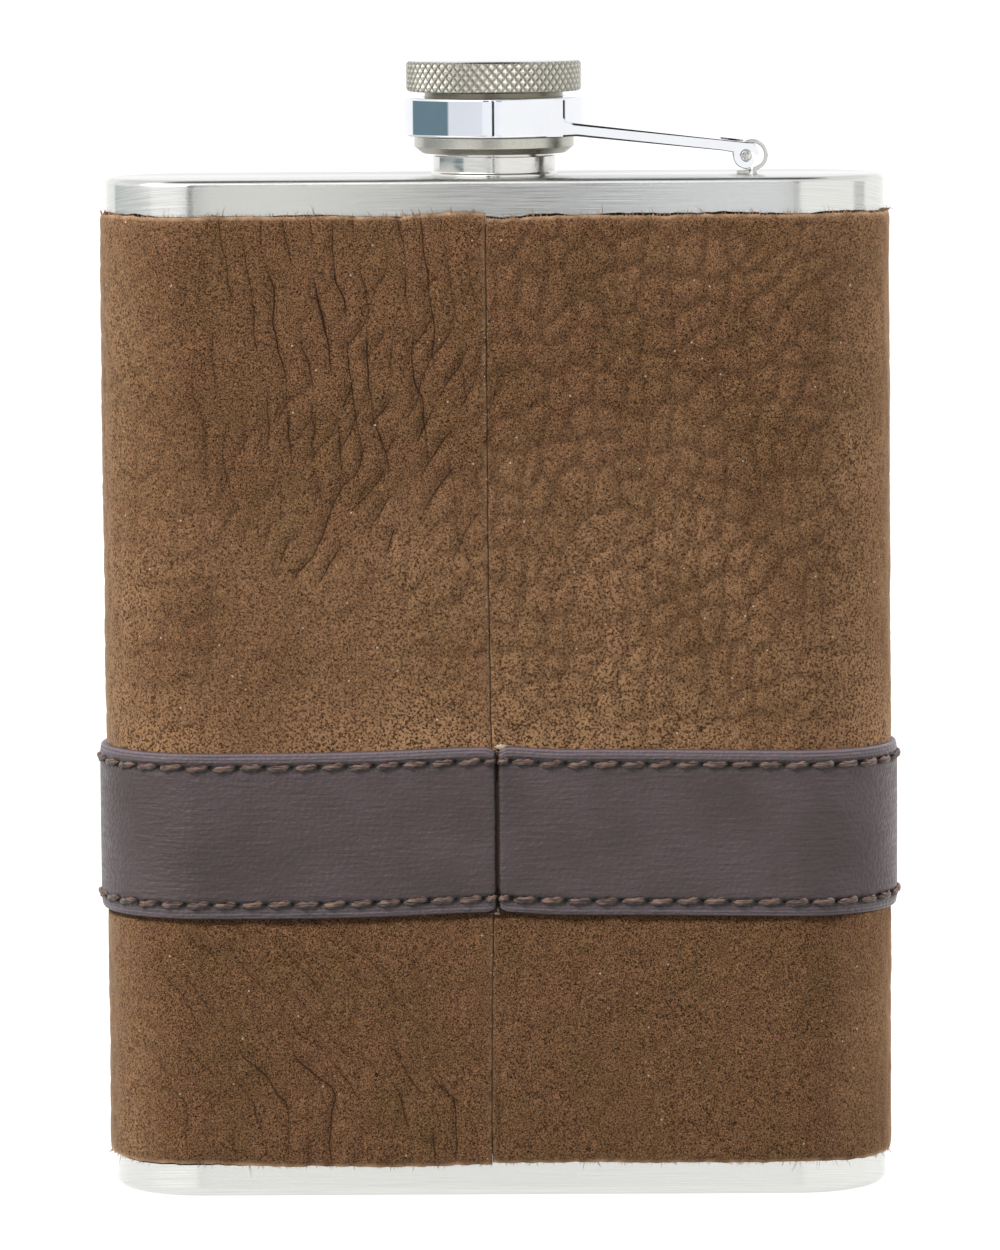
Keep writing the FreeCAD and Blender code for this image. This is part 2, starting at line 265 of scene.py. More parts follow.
top_low, top_high = box_of("top_pan")
shoulder = top_high[2]
top_edge = 0.8
top_inner_edge = 0.5
neck_hole = 7.0
rim_profile = np.concatenate([
    arc(body_radius - top_edge, shoulder - top_edge, top_edge, 90, 0, 10),
    [[body_radius, top_low[2]], [body_radius - sheet, top_low[2]]],
    arc(body_radius - sheet - top_inner_edge, shoulder - sheet - top_inner_edge, top_inner_edge, 0, 90, 8),
])
rim_profile = supported(rim_profile)
rim_points = carried_round(rim_profile[:, 0], rim_profile[:, 1])
spread = np.linspace(0, 1, 9)[:, None]


def plate_rows(rim_row, spread):
    """Rows of a flat plate that open out in straight lines from the neck's hole to a row of the rim."""
    angle = np.arctan2(rim_row[:, 1], rim_row[:, 0])
    x = neck_hole * np.cos(angle) * (1 - spread) + rim_row[:, 0] * spread
    y = neck_hole * np.sin(angle) * (1 - spread) + rim_row[:, 1] * spread
    return np.stack([x, y, np.full(x.shape, rim_row[0, 2])], axis=-1)


top_points = np.concatenate([
    plate_rows(rim_points[0], spread),
    rim_points[1:-1],
    plate_rows(rim_points[-1], spread[::-1]),
])
top_points = np.concatenate([top_points, top_points[:1]])
top_grain = grain_round(top_points)
on_plate = np.zeros(len(top_points), dtype=bool)
on_plate[:len(spread)] = True
on_plate[-len(spread) - 1:] = True
top_grain[on_plate] = top_points[on_plate][:, :, :2]
top_pan_pressing = surface_piece("top_pan_pressing", top_points, top_grain)
top_pan_pressing.data.materials.append(brushed_steel)
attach(top_pan_pressing, "flask")
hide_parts("top_pan")


# ---- Neck spout ------------------------------------------------------------------------------------------
# A spout turned from stainless bar: a tail set through the pan, a fine weld ring round its foot, a plain
# polished neck and a threaded mouth. Its thread is a real helix of 1.5 mm pitch.

# Polished stainless: turned, then buffed, so it mirrors the room with only faint rings left by the tool,
# drawn 0.25 mm apart.
tool_ring = 0.25
polished_steel, tree, shader = start_material("polished_stainless_304", {"Metallic": 1.0})
place = add(tree, "TexCoord").outputs["Object"]
ring_place = add(tree, "Mapping", {
    "Vector": place,
    "Scale": (0.1 / (tool_ring * MM), 0.1 / (tool_ring * MM), 1 / (tool_ring * MM))})
rings = add(tree, "TexNoise", {"Vector": ring_place, "Scale": 1.0, "Detail": 2.0})
tint = add(tree, "Mix", {0: rings, 6: "#d3d1cb", 7: "#e3e1dc"}, data_type="RGBA")
gloss = add(tree, "MapRange", {"Value": rings, "From Min": 0.3, "From Max": 0.7,
                               "To Min": 0.1, "To Max": 0.18})
wire(shader, {"Base Color": tint, "Roughness": gloss})


def turned_points(profile, steps):
    """A profile of (radius, level) points turned about the cap's axis in this many equal steps."""
    angle = np.linspace(0, 2 * math.pi, steps + 1)
    profile = np.asarray(profile, dtype=float)
    x = profile[:, 0, None] * np.cos(angle)
    y = profile[:, 0, None] * np.sin(angle)
    return np.stack([x, y, np.broadcast_to(profile[:, 1, None], x.shape)], axis=-1)


def wave(turns):
    """A triangle wave: 0 at whole turns, rising evenly to 1 at the half turn and falling again."""
    return 1 - np.abs(2 * (turns - np.floor(turns)) - 1)


def threaded_radius(points, root, height, pitch, low, high):
    """Cuts a helix into turned points. Between the levels low and high the radius becomes the root's plus the
    thread's height times a clipped triangle wave of (level / pitch - angle), which fades out at both ends."""
    turns = (points[:, :, 2] - low) / pitch - np.arctan2(points[:, :, 1], points[:, :, 0]) / (2 * math.pi)
    form = np.clip(1.6 * wave(turns) - 0.3, 0, 1)
    fade = np.clip((points[:, :, 2] - low) / (0.4 * pitch), 0, 1)
    fade = fade * np.clip((high - points[:, :, 2]) / (0.4 * pitch), 0, 1)
    factor = (root + height * form * fade) / root
    cut = (points[:, :, 2] > low) & (points[:, :, 2] < high)
    cut = cut & (np.abs(np.hypot(points[:, :, 0], points[:, :, 1]) - root) < 0.01)
    factor = np.where(cut, factor, 1.0)
    return points * np.stack([factor, factor, np.ones_like(factor)], axis=-1)


thread_pitch = 1.5
neck_bore = 5.5
neck_radius = 7.5
neck_root = 6.4
neck_top = 8.8
neck_tail = 2.0
weld_bead = 0.25
plain_neck = 2.3
thread_low, thread_high, thread_height = 3.2, 8.3, 0.4
neck_profile = np.concatenate([
    [[neck_bore, -neck_tail], [neck_hole, -neck_tail], [neck_hole, 0.0], [neck_radius + weld_bead, 0.0]],
    arc(neck_radius, 0.12, weld_bead, 0, 70, 4),
    [[neck_radius, 0.5], [neck_radius, plain_neck]],
    arc(neck_radius - 0.1, plain_neck, 0.1, 10, 90, 3),
    [[neck_root, 2.4]],
    np.stack([np.full(52, neck_root), np.linspace(thread_low, thread_high, 52)], axis=-1),
    arc(neck_root - 0.3, neck_top - 0.3, 0.3, 10, 90, 4),
    arc(neck_bore + 0.2, neck_top - 0.2, 0.2, 90, 180, 4),
    [[neck_bore, -neck_tail]],
])
neck_points = turned_points(supported(neck_profile) + [0, shoulder], 128)
neck_points = threaded_radius(neck_points, neck_root, thread_height, thread_pitch, shoulder + thread_low,
                              shoulder + thread_high)
neck_turning = surface_piece("neck_turning", neck_points)
neck_turning.data.materials.append(polished_steel)
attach(neck_turning, "flask")
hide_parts("neck_spout")


# ---- Hinge bracket ---------------------------------------------------------------------------------------
# A stainless strip rolled round a mandrel into an eye. Its two legs stand side by side on the shoulder, and
# one of them turns out as a short foot for the spot weld.

pin_low, pin_high = box_of("hinge_pin")
hinge_x = (pin_low[0] + pin_high[0]) / 2
hinge_z = (pin_low[2] + pin_high[2]) / 2
bracket_low, bracket_high = box_of("hinge_bracket")
strip = 0.42
loop_radius = 1.9 - strip / 2
loop_x = bracket_high[0] - 1.9
leg_offset = 0.15 + strip / 2
loop_start = math.degrees(math.acos(leg_offset / loop_radius))
foot_length = 1.5


def strip_points(path, thickness, low, high, edge):
    """A strip bent along a path in the (x, z) plane: its section is a rectangle with cut corners, set square
    to the path at each point, and its width runs along y from low to high."""
    along = np.gradient(path, axis=0)
    along /= np.linalg.norm(along, axis=1)[:, None]
    across = np.stack([-along[:, 1], along[:, 0]], axis=-1)
    half = thickness / 2
    offset = np.array([half - edge, half, half, half - edge, edge - half, -half, -half, edge - half])
    width = np.array([low, low + edge, high - edge, high, high, high - edge, low + edge, low])
    offset = np.append(offset, offset[0])[:, None]
    x = path[:, 0] + offset * across[:, 0]
    z = path[:, 1] + offset * across[:, 1]
    return np.stack([x, np.broadcast_to(np.append(width, width[0])[:, None], x.shape), z], axis=-1)


leg_top = hinge_z - math.sqrt(loop_radius ** 2 - leg_offset ** 2)
foot_middle = shoulder + strip / 2
bend = 0.3
bracket_path = np.concatenate([
    [[loop_x - leg_offset - foot_length, foot_middle], [loop_x - leg_offset - bend, foot_middle]],
    arc(loop_x - leg_offset - bend, foot_middle + bend, bend, -75, -15, 5),
    [[loop_x - leg_offset, foot_middle + bend], [loop_x - leg_offset, leg_top - 0.25]],
    arc(loop_x, hinge_z, loop_radius, 270 - (90 - loop_start), -90 + (90 - loop_start), 40),
    [[loop_x + leg_offset, leg_top - 0.25], [loop_x + leg_offset, shoulder + 0.02]],
])
bracket_points = strip_points(bracket_path, strip, bracket_low[1], bracket_high[1], 0.06)
bracket_strip = surface_piece("bracket_strip", bracket_points, cap_ends=True)
bracket_strip.data.materials.append(polished_steel)
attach(bracket_strip, "flask")
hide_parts("hinge_bracket")


# ---- Glue under the wrap ---------------------------------------------------------------------------------
# Rubber contact cement is brushed on the steel and on the leather, left to dry and pressed together. It
# dries to an amber film, and only its edge could ever be seen.

def mottled_material(name, values, spots, detail, dark, light, dents=None):
    """A material that one noise mottles between two colours, in spots this many mm wide. dents are how deep
    the same noise presses it, in mm, and how strongly. Returns it with its tree, its shader and the noise."""
    material, tree, shader = start_material(name, values)
    place = add(tree, "TexCoord").outputs["Object"]
    mottle = add(tree, "TexNoise", {"Vector": place, "Scale": 1 / (spots * MM), "Detail": detail})
    wire(shader, {"Base Color": add(tree, "Mix", {0: mottle, 6: dark, 7: light}, data_type="RGBA")})
    if dents:
        wire(shader, {"Normal": add(tree, "Bump", {"Height": mottle, "Distance": dents[0] * MM,
                                                   "Strength": dents[1]})})
    return material, tree, shader, mottle


# Chloroprene contact cement: satin and lumpy as the brush leaves it, 0.3 mm from lump to lump. It is amber
# where it is clean, and pale where hide dust has stuck in it.
contact_cement, dried_cement = [
    mottled_material(name, {"IOR": 1.5, "Specular IOR Level": 0.3, "Roughness": 0.6}, 0.3, 3.0, dark, light,
                     dents=(0.1, 0.8))[0]
    for name, dark, light in (("contact_cement_film", "#2a221a", "#4b3f31"),
                              ("dusty_dried_cement", "#7d705a", "#bcb29c"))]
for node in ("sleeve_glue", "strap_glue"):
    for part_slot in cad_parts[node].material_slots:
        part_slot.material = contact_cement


# ---- Leather sleeve --------------------------------------------------------------------------------------
# One piece of brown nubuck, cut to size and glued round the shell with its two ends butted on this face.
# The hide's own creases and pebbles run through it, and all its cut edges are left raw and a little frayed.

def lattice(x, y, seed, turns=97):
    """Whole lattice cells of x and y, as a repeatable random number from 0 to 1 for each cell."""
    table = np.random.default_rng(seed).random((turns, turns))
    return table[np.mod(x, turns).astype(int), np.mod(y, turns).astype(int)]


def soft_noise(x, y, seed):
    """Smooth noise from about -1 to 1 with features of size 1: each lattice corner has a slope in a random
    direction, and the four slopes round a point are blended by t * t * t * (t * (6 t - 15) + 10)."""
    column, row = np.floor(x), np.floor(y)
    u, v = x - column, y - row
    blend_u = u ** 3 * (u * (6 * u - 15) + 10)
    blend_v = v ** 3 * (v * (6 * v - 15) + 10)
    total = 0
    for i in (0, 1):
        for j in (0, 1):
            angle = 2 * math.pi * lattice(column + i, row + j, seed)
            slope = np.cos(angle) * (u - i) + np.sin(angle) * (v - j)
            weight = (blend_u if i else 1 - blend_u) * (blend_v if j else 1 - blend_v)
            total = total + weight * slope
    return 1.5 * total


def cell_edges(x, y, seed, jitter=0.85):
    """Random cells of size 1: each lattice cell holds one jittered point, and the value is the distance to
    the second nearest point minus the distance to the nearest. It is 0 along the border between cells."""
    column, row = np.floor(x), np.floor(y)
    nearest = np.full(np.shape(x), 9.0)
    second = nearest.copy()
    for i in (-1, 0, 1):
        for j in (-1, 0, 1):
            point_x = column + i + 0.5 + jitter * (lattice(column + i, row + j, seed) - 0.5)
            point_y = row + j + 0.5 + jitter * (lattice(column + i, row + j, seed + 1) - 0.5)
            gap = np.hypot(point_x - x, point_y - y)
            second = np.minimum(second, np.maximum(gap, nearest))
            nearest = np.minimum(nearest, gap)
    return second - nearest


def comb(turns, spacing):
    """Signed distance in mm to the nearest whole turn: a triangle wave that crosses zero at every whole turn,
    so that the lines it stands for stay sharp between the points of a mesh."""
    return spacing * (np.abs(np.mod(turns + 0.5, 2) - 1) - 0.5)


def patch(x, y, centre_x, centre_y, half_x, half_y):
    """A soft-edged patch: 1 in the middle, falling to 0 a little past its half width and half height."""
    return np.exp(-np.abs((x - centre_x) / half_x) ** 4 - np.abs((y - centre_y) / half_y) ** 4)


sleeve_low, sleeve_high = box_of("leather_sleeve")
sleeve_radius = sleeve_high[1]
leather = 0.65
seam_x = -0.9
seam_gap = 0.07
sleeve_round = 4 * half_straight + 2 * math.pi * sleeve_radius
fine_reach = 55.0
sleeve_steps = np.concatenate([
    [0, 0.1, 0.25, 0.5], np.linspace(0.85, fine_reach, 132),
    np.linspace(fine_reach, sleeve_round - fine_reach, 152)[1:-1],
    np.linspace(sleeve_round - fine_reach, sleeve_round - 0.85, 132),
    sleeve_round - np.array([0.5, 0.25, 0.1, 0]),
])
sleeve_rows = 226
top_hairs, bottom_hairs, seam_hairs, hair_radius = 1100, 500, 170, 0.042
across = np.linspace(0, 1, sleeve_rows)[:, None]

# Signed distance from the middle of the seam face: the right flap's is positive and the left flap's negative.
from_seam = np.minimum(sleeve_steps, sleeve_round - sleeve_steps)
flap = np.where(sleeve_steps < sleeve_round / 2, 1.0, -1.0)
signed = seam_x + flap * from_seam
edge_noise = 0.1 * soft_noise(sleeve_steps / 1.1, 0 * sleeve_steps + 0.5, 5)
edge_noise = edge_noise + 0.18 * soft_noise(sleeve_steps / 9, 0 * sleeve_steps + 0.5, 6)
top_line = sleeve_high[2] + edge_noise + 0.45 * np.exp(-((signed + 4) / 5) ** 2) * (flap < 0)
top_line = top_line - 0.25 * np.exp(-(from_seam / 5) ** 2) * (flap > 0)
bottom_line = sleeve_low[2] - edge_noise[::-1] - 0.45 * patch(signed, 0, -14, 0, 16, 1) * (flap < 0)
levels = bottom_line + across * (top_line - bottom_line)
side = np.broadcast_to(signed, levels.shape)

# The seam wanders a little: it stands further left at the top and comes nearest the middle at the strap.
wander = 0.4 * np.exp(-((levels - 44) / 22) ** 2) + 0.09 * soft_noise(levels / 7, 0 * levels, 7)
wander = wander + 0.05 * soft_noise(levels / 0.8, side * 0 + 3 * flap, 8)
seam_pull = wander * np.exp(-(from_seam / 5))

# Where the hide is creased: long upright creases at the left flap's top, branches that lean over as they near
# the seam, and slanting wrinkles on its lower part, which stand up along its bottom edge.
upright = patch(side, levels, -19, 106, 18, 22) + 0.35 * patch(side, levels, 66, 96, 16, 22)
leaning = patch(side, levels, -12, 94, 13, 20) + 0.6 * patch(side, levels, -24, 86, 10, 12)
wrinkled = 0.75 * patch(side, levels, -28, 21, 20, 15) + patch(side, levels, -13, 10, 14, 8)

# Distance round the wrap and level, both bent by soft noise. Each set of creases is a comb of lines across
# them, and each line has its own slow noise, which makes it come and go.
along = seam_x + sleeve_steps
bent_x = along + 0.9 * soft_noise(along / 6, levels / 8, 11) + 0.3 * soft_noise(along / 2.2, levels / 3, 12)
bent_z = levels + 0 * along + 1.5 * soft_noise(along / 6, levels / 8, 13)
crease_sets = (
    ("upright", upright, (bent_x + 0.12 * bent_z) / 2.7, 2.7, 7.0, 0.62, 14),
    ("leaning", leaning, (0.88 * bent_x - 0.47 * bent_z) / 2.6, 2.6, 3.8, 0.42, 15),
    ("wrinkled", wrinkled, (bent_x + 0.8 * np.clip(bent_z - 12, 0, None)) / 3.0, 3.0, 5.5, 0.5, 16),
)
fold_depth, fold_half = 0.13, 0.38
valley_depth, valley_half = 0.12, 0.9
crease_marks = {}
relief = 0.1 * soft_noise(along / 10, levels / 16, 25) + 0.06 * soft_noise(along / 4, levels / 5, 27)
for crease, where, turns, spacing, fade_length, usual, seed in crease_sets:
    line = comb(turns, spacing)
    depth = np.clip(usual + 1.5 * soft_noise(np.round(turns) + 0.37, levels / fade_length, seed), 0, 1)
    depth = np.clip(where, 0, 1) * depth
    relief = relief - depth * (fold_depth * np.exp(-(line / fold_half) ** 2)
                               + valley_depth * np.exp(-(line / valley_half) ** 2))
    crease_marks[crease] = line * MM
    crease_marks[crease + "_depth"] = depth

# Cobbles: low pillows over the right flap, and fainter ones over the rest of the hide.
cobbled = patch(side, levels, 17, 88, 24, 33) + 0.35 + 0.4 * patch(side, levels, -43, 85, 10, 34)
cobbled = np.clip(cobbled - 0.7 * upright, 0, 1)
cobble_edges = cell_edges(bent_x / 3.1, bent_z / 4.2, 21, jitter=0.75)
cobble_dip = cobbled * np.exp(-(cobble_edges / 0.17) ** 2)
relief = relief - 0.16 * cobble_dip + 0.07 * cobbled * np.clip(cobble_edges / 0.6, 0, 1)
crease_marks["cobble_dip"] = cobble_dip
relief = relief * np.clip(from_seam / 1.5, 0, 1)

# The left flap's end stands a little proud of the right one's, and both round over into the cut.
lip = 0.11 * np.exp(-from_seam / 3) * (flap < 0) - 0.24 * np.exp(-from_seam / 0.16)
end_drop = 0.16 * np.exp(-np.minimum(levels - bottom_line, top_line - levels) / 0.35)
nap_relief = 0.03 * soft_noise(side / 0.8, levels / 0.8, 26)
outer_radius = sleeve_radius - 0.04 + relief + lip - end_drop + nap_relief

inner_radius = sleeve_radius - leather
sleeve_levels = np.concatenate([levels, top_line[None] + 0 * across[:2], bottom_line[None] + 0 * across[:2]])
# A dark upstand of painted shade stands against the steel above the right flap and at the wrap's corners.
shadow_upstand = 0.3 * np.clip(0.75 + soft_noise(sleeve_steps / 6, 0 * sleeve_steps + 0.5, 33), 0, 1)
shadow_upstand_reach = (flap > 0) + patch(signed, 0, -50, 0, 9, 1) + 0.6 * patch(signed, 0, -26, 0, 7, 1)
shadow_upstand = shadow_upstand * np.clip(shadow_upstand_reach, 0, 1)
# The inner top row rises into that upstand and is painted near-black like the wrap's inside.
sleeve_levels[-4] -= 0.12
sleeve_levels[-3] += shadow_upstand
# At the lower left the inner bottom row drops below the edge, a painted shadow line under the wrap.
sleeve_levels[-2] -= 0.25 * patch(signed, 0, -42, 0, 12, 1)
sleeve_levels[-1] += 0.12
sleeve_radii = np.concatenate([outer_radius, np.full((4, len(sleeve_steps)), inner_radius)])
sleeve_radii[-4] += 0.3
sleeve_radii[-1] += 0.3
sleeve_radii = np.concatenate([sleeve_radii, sleeve_radii[:1]])
sleeve_levels = np.concatenate([sleeve_levels, sleeve_levels[:1]])
pull = np.concatenate([seam_pull, np.tile(seam_pull[-1:], (2, 1)), np.tile(seam_pull[:1], (3, 1))])
cut_steps = seam_x + seam_gap / 2 + sleeve_steps * (sleeve_round - seam_gap) / sleeve_round
centre, out_x, out_y = around_body(np.mod(cut_steps, sleeve_round), sleeve_radius)
sleeve_points = np.stack([
    centre + sleeve_radii * out_x + pull,
    sleeve_radii * out_y,
    sleeve_levels,
], axis=-1)
sleeve_map = np.stack([np.broadcast_to(sleeve_steps, sleeve_radii.shape), sleeve_levels], axis=-1)


def outer_mark(values):
    """Gives a mark that was worked out on the outside zeros on the edge rows and the inside."""
    padded = np.zeros(sleeve_radii.shape)
    padded[:len(values)] = values
    padded[-1] = values[0]
    return padded


# The wrap's cut edges and inside are painted near-black: painted shade for the gap against the steel.
hollow = np.zeros(sleeve_radii.shape)
hollow[-5:-1] = 1.0

# Rubbing lightens the nap: most along the strap's upper edge, some in the middle and round the ends.
buffed = 0.62 * np.exp(-np.clip(levels - 54, 0, None) / 6) * (levels > 50)
buffed = buffed * (0.5 + 0.5 * np.exp(-((side - 2) / 24) ** 2))
buffed = buffed + 0.22 * patch(side, levels, 0, 74, 40, 18) + 0.16 * soft_noise(along / 9, levels / 12, 31)
buffed = buffed + 0.3 * np.exp(-((from_seam - 47) / 7) ** 2) - 0.1 * (levels < 36) - 0.2 * upright
raw_edge = np.exp(-np.minimum(levels - bottom_line, top_line - levels) / 0.2)
raw_edge = raw_edge * np.clip(0.75 + 0.6 * soft_noise(along / 1.3, 0 * levels + 0.5, 38), 0.2, 1.1)
seam_fray = np.clip(0.6 + soft_noise(levels / 2, side * 0, 34), 0, 1)
raw_edge = raw_edge + 0.9 * np.exp(-from_seam / 0.2) * (flap < 0) * seam_fray

# Nubuck is grain leather sanded to a velvet of short fibres. It is matt, it lightens at grazing angles, and
# its fibres lie in curly tufts, which break the brown into specks. The tufts are drawn 0.17 mm wide and the
# rubbed pores 0.31 mm, coarser than real nap, so that they show. Creases and cobble dips get painted shade.
tuft = 0.17
pore = 0.31
nubuck, tree, shader = start_material("brown_nubuck_leather", {
    "Roughness": 0.92, "IOR": 1.45, "Specular IOR Level": 0.12, "Sheen Weight": 0.6, "Sheen Roughness": 0.4,
    "Sheen Tint": "#d8bda0"})
place = add(tree, "TexCoord").outputs["Object"]
marks = {name: add(tree, "Attribute", attribute_name=name).outputs["Fac"]
         for name in ("buffed", "raw_edge", "hollow", *crease_marks)}
tufts = add(tree, "TexNoise", {"Vector": place, "Scale": 1 / (tuft * MM),
                               "Detail": 2.0, "Roughness": 0.65, "Distortion": 0.7})
pores = add(tree, "TexNoise", {"Vector": place, "Scale": 1 / (pore * MM), "Detail": 2.0, "Distortion": 0.4})
clouds = add(tree, "TexNoise", {"Vector": place, "Scale": 1 / (7 * MM), "Detail": 5.0})
tuft_step = add(tree, "MapRange", {"Value": tufts, "From Min": 0.38, "From Max": 0.64})
nap = add(tree, "Mix", {0: tuft_step, 6: "#1a0d06", 7: "#8d674a"}, data_type="RGBA")
cloud_step = add(tree, "MapRange", {"Value": clouds, "From Min": 0.38, "From Max": 0.66,
                                    "To Min": 0.0, "To Max": 0.55})
olive_nap = add(tree, "Mix", {0: tuft_step, 6: "#1b1108", 7: "#816341"}, data_type="RGBA")
toned = add(tree, "Mix", {0: cloud_step, 6: nap, 7: olive_nap}, data_type="RGBA")
pore_step = add(tree, "MapRange", {"Value": pores, "From Min": 0.42, "From Max": 0.54})
rubbed = add(tree, "Mix", {0: pore_step, 6: "#231208", 7: "#b8906b"}, data_type="RGBA")
rub = add(tree, "Mix", {0: marks["buffed"], 6: toned, 7: rubbed}, data_type="RGBA", clamp_factor=True)

# Painted shade on each set of creases: a dark line this far to both sides, this dark, and a fainter shadow.
shade = rub
crease_shade_widths = (("upright", 0.18, 0.78), ("leaning", 0.17, 0.7), ("wrinkled", 0.18, 0.68))
for crease, half_width, darkness in crease_shade_widths:
    aside = add(tree, "Math", {0: marks[crease]}, operation="ABSOLUTE")
    line = add(tree, "MapRange", {"Value": aside, "From Max": half_width * MM, "To Min": darkness,
                                  "To Max": 0.0}, interpolation_type="SMOOTHSTEP")
    shadow = add(tree, "MapRange", {"Value": aside, "From Max": 0.7 * MM, "To Min": 0.25 * darkness,
                                    "To Max": 0.0}, interpolation_type="SMOOTHSTEP")
    crease_shading = add(tree, "Math", {0: line, 1: shadow}, operation="ADD")
    dark = add(tree, "Math", {0: crease_shading, 1: marks[crease + "_depth"]}, operation="MULTIPLY", use_clamp=True)
    shade = add(tree, "Mix", {0: dark, 6: shade, 7: "#1c0e07"}, data_type="RGBA")
# Painted shade in the dips between the cobbles.
cobble_shade = add(tree, "Math", {0: marks["cobble_dip"], 1: 0.3}, operation="MULTIPLY", use_clamp=True)
shade = add(tree, "Mix", {0: cobble_shade, 6: shade, 7: "#1c0e07"}, data_type="RGBA")

# Cut edges show paler raw fibres, and a few specks of lint lie on the nap.
lint = add(tree, "TexVoronoi", {"Vector": place, "Scale": 1 / (2.6 * MM)}, feature="F1")
speck = add(tree, "MapRange", {"Value": lint.outputs["Distance"], "From Min": 0.03, "From Max": 0.06,
                               "To Min": 0.6, "To Max": 0.0})
linted = add(tree, "Mix", {0: speck, 6: shade, 7: "#d8c4ae"}, data_type="RGBA")
fray = add(tree, "Math", {0: marks["raw_edge"], 1: 0.75}, operation="MULTIPLY", use_clamp=True)
whole = add(tree, "Mix", {0: fray, 6: linted, 7: "#bf9d7d"}, data_type="RGBA")
# Painted shade: the cut edges and the inside turn near-black.
gap = add(tree, "Mix", {0: marks["hollow"], 6: whole, 7: "#0c0705"}, data_type="RGBA", clamp_factor=True)
nap_bump = add(tree, "Bump", {"Height": tufts, "Distance": 0.04 * MM, "Strength": 1.0})
wire(shader, {"Base Color": gap, "Normal": nap_bump})

wrap_marks = {"buffed": buffed, "raw_edge": raw_edge, **crease_marks}
wrap_marks = {mark: outer_mark(values) for mark, values in wrap_marks.items()}
nubuck_wrap = surface_piece("nubuck_wrap", sleeve_points, sleeve_map, {**wrap_marks, "hollow": hollow},
                            cap_ends=True, sharp=80)
nubuck_wrap.data.materials.append(nubuck)
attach(nubuck_wrap, "flask")
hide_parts("leather_sleeve")


def hair_tufts(name, roots, directions, lengths, thickness, seed):
    """Short curled hairs as three-sided spikes in one piece. Each has a root, a direction and a length. Its
    two upper stations are pushed aside at random, and the last one is a point."""
    chance = np.random.default_rng(seed)
    count = len(roots)
    bend = chance.normal(0, 0.3, (2, count, 3)) * lengths[:, None]
    spine = np.stack([roots, roots + 0.5 * lengths[:, None] * directions + 0.4 * bend[0],
                      roots + lengths[:, None] * directions + bend[0] + 0.5 * bend[1]], axis=1)
    angle = np.radians([90, 210, 330])
    rim = thickness * np.stack([np.cos(angle), 0 * angle, np.sin(angle)], axis=-1)
    stations = np.concatenate([spine[:, :1] + rim, spine[:, 1:2] + 0.8 * rim, spine[:, 2:]], axis=1)
    faces = np.array([[0, 1, 2], [0, 3, 4], [0, 4, 1], [1, 4, 5], [1, 5, 2], [2, 5, 3], [2, 3, 0],
                      [3, 6, 4], [4, 6, 5], [5, 6, 3]])
    faces = (faces + 7 * np.arange(count)[:, None, None]).reshape(-1, 3)
    return closed_piece(name, stations, faces.tolist(), merged=False)


# Loose fibres stand out of the wrap's cut edges: most along its top, fewer along its bottom and its seam.
chance = np.random.default_rng(35)
step_share = np.gradient(sleeve_steps) / np.gradient(sleeve_steps).sum()
top_picks = chance.choice(len(sleeve_steps), top_hairs, p=step_share)
low_picks = chance.choice(len(sleeve_steps), bottom_hairs, p=step_share)
seam_picks = chance.integers(1, sleeve_rows - 1, seam_hairs)
roots = np.concatenate([sleeve_points[sleeve_rows - 1, top_picks], sleeve_points[0, low_picks],
                        sleeve_points[seam_picks, -3]])
outwards = np.stack([out_x, out_y, 0 * out_x], axis=-1)
directions = np.concatenate([0.35 * outwards[top_picks] + [0, 0, 0.8],
                             0.35 * outwards[low_picks] + [0, 0, -0.8],
                             np.tile([[0.55, -0.5, 0.0]], (len(seam_picks), 1))])
directions = directions + chance.normal(0, 0.35, directions.shape)
lengths = np.concatenate([0.15 + 0.22 * chance.exponential(1, len(top_picks)),
                          0.15 + 0.22 * chance.exponential(1, len(low_picks)),
                          0.1 + 0.1 * chance.exponential(1, len(seam_picks))])
raw_fibres = hair_tufts("raw_fibres", roots, directions, np.clip(lengths, 0, 0.9), hair_radius, 36)

# Raw hide fibre: the undyed core of the leather, paler than its face.
hide_fibre = mottled_material("raw_hide_fibre", {
    "Roughness": 0.8, "Specular IOR Level": 0.2, "Sheen Weight": 0.3}, 1.5, 2.0, "#7c5a41", "#cda683")[0]
raw_fibres.data.materials.append(hide_fibre)
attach(raw_fibres, "flask")


# ---- Strap backing ---------------------------------------------------------------------------------------
# Thin bonded leather board stiffens the strap. The face leather's long edges are turned over it, so that it
# is hidden all round.

# Bonded leather: ground hide fibres pressed with latex, matt and flecked every 0.6 mm.
# It is painted near-black so that where it shows, in the joint, it stands for shade.
backing_board = mottled_material("bonded_leather_board", {"Specular IOR Level": 0.2, "Roughness": 0.85},
                                 0.6, 4.0, "#1d1511", "#2e231c", dents=(0.05, 1.0))[0]
for part_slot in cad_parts["strap_backing"].material_slots:
    part_slot.material = backing_board


# ---- Strap face ------------------------------------------------------------------------------------------
# Smooth, dyed strap leather with its long edges turned under and creased by a hot iron. It is sewn to its
# board, glued round the wrap, and butted on this face, where both ends climb a little.

strap_low, strap_high = box_of("strap_face")
strap_radius = strap_high[1]
strap_height = strap_high[2] - strap_low[2]
strap_thickness = strap_radius - sleeve_radius
strap_round = 4 * half_straight + 2 * math.pi * strap_radius
joint_gap = 0.12
edge_roll, edge_slope = 0.28, 1.15
iron_pitch = 0.42
hole_length, hole_width, hole_depth = 0.42, 0.38, 0.42
stitch_inset = 1.8
stitch_count = 67
stitch_pitch = strap_round / (stitch_count + 1)

strap_steps = np.concatenate([[0, 0.06, 0.15, 0.3], np.linspace(0.5, strap_round - 0.5, 700)])
strap_steps = np.append(strap_steps, strap_round - strap_steps[3::-1])
joint_distance = np.minimum(strap_steps, strap_round - strap_steps)


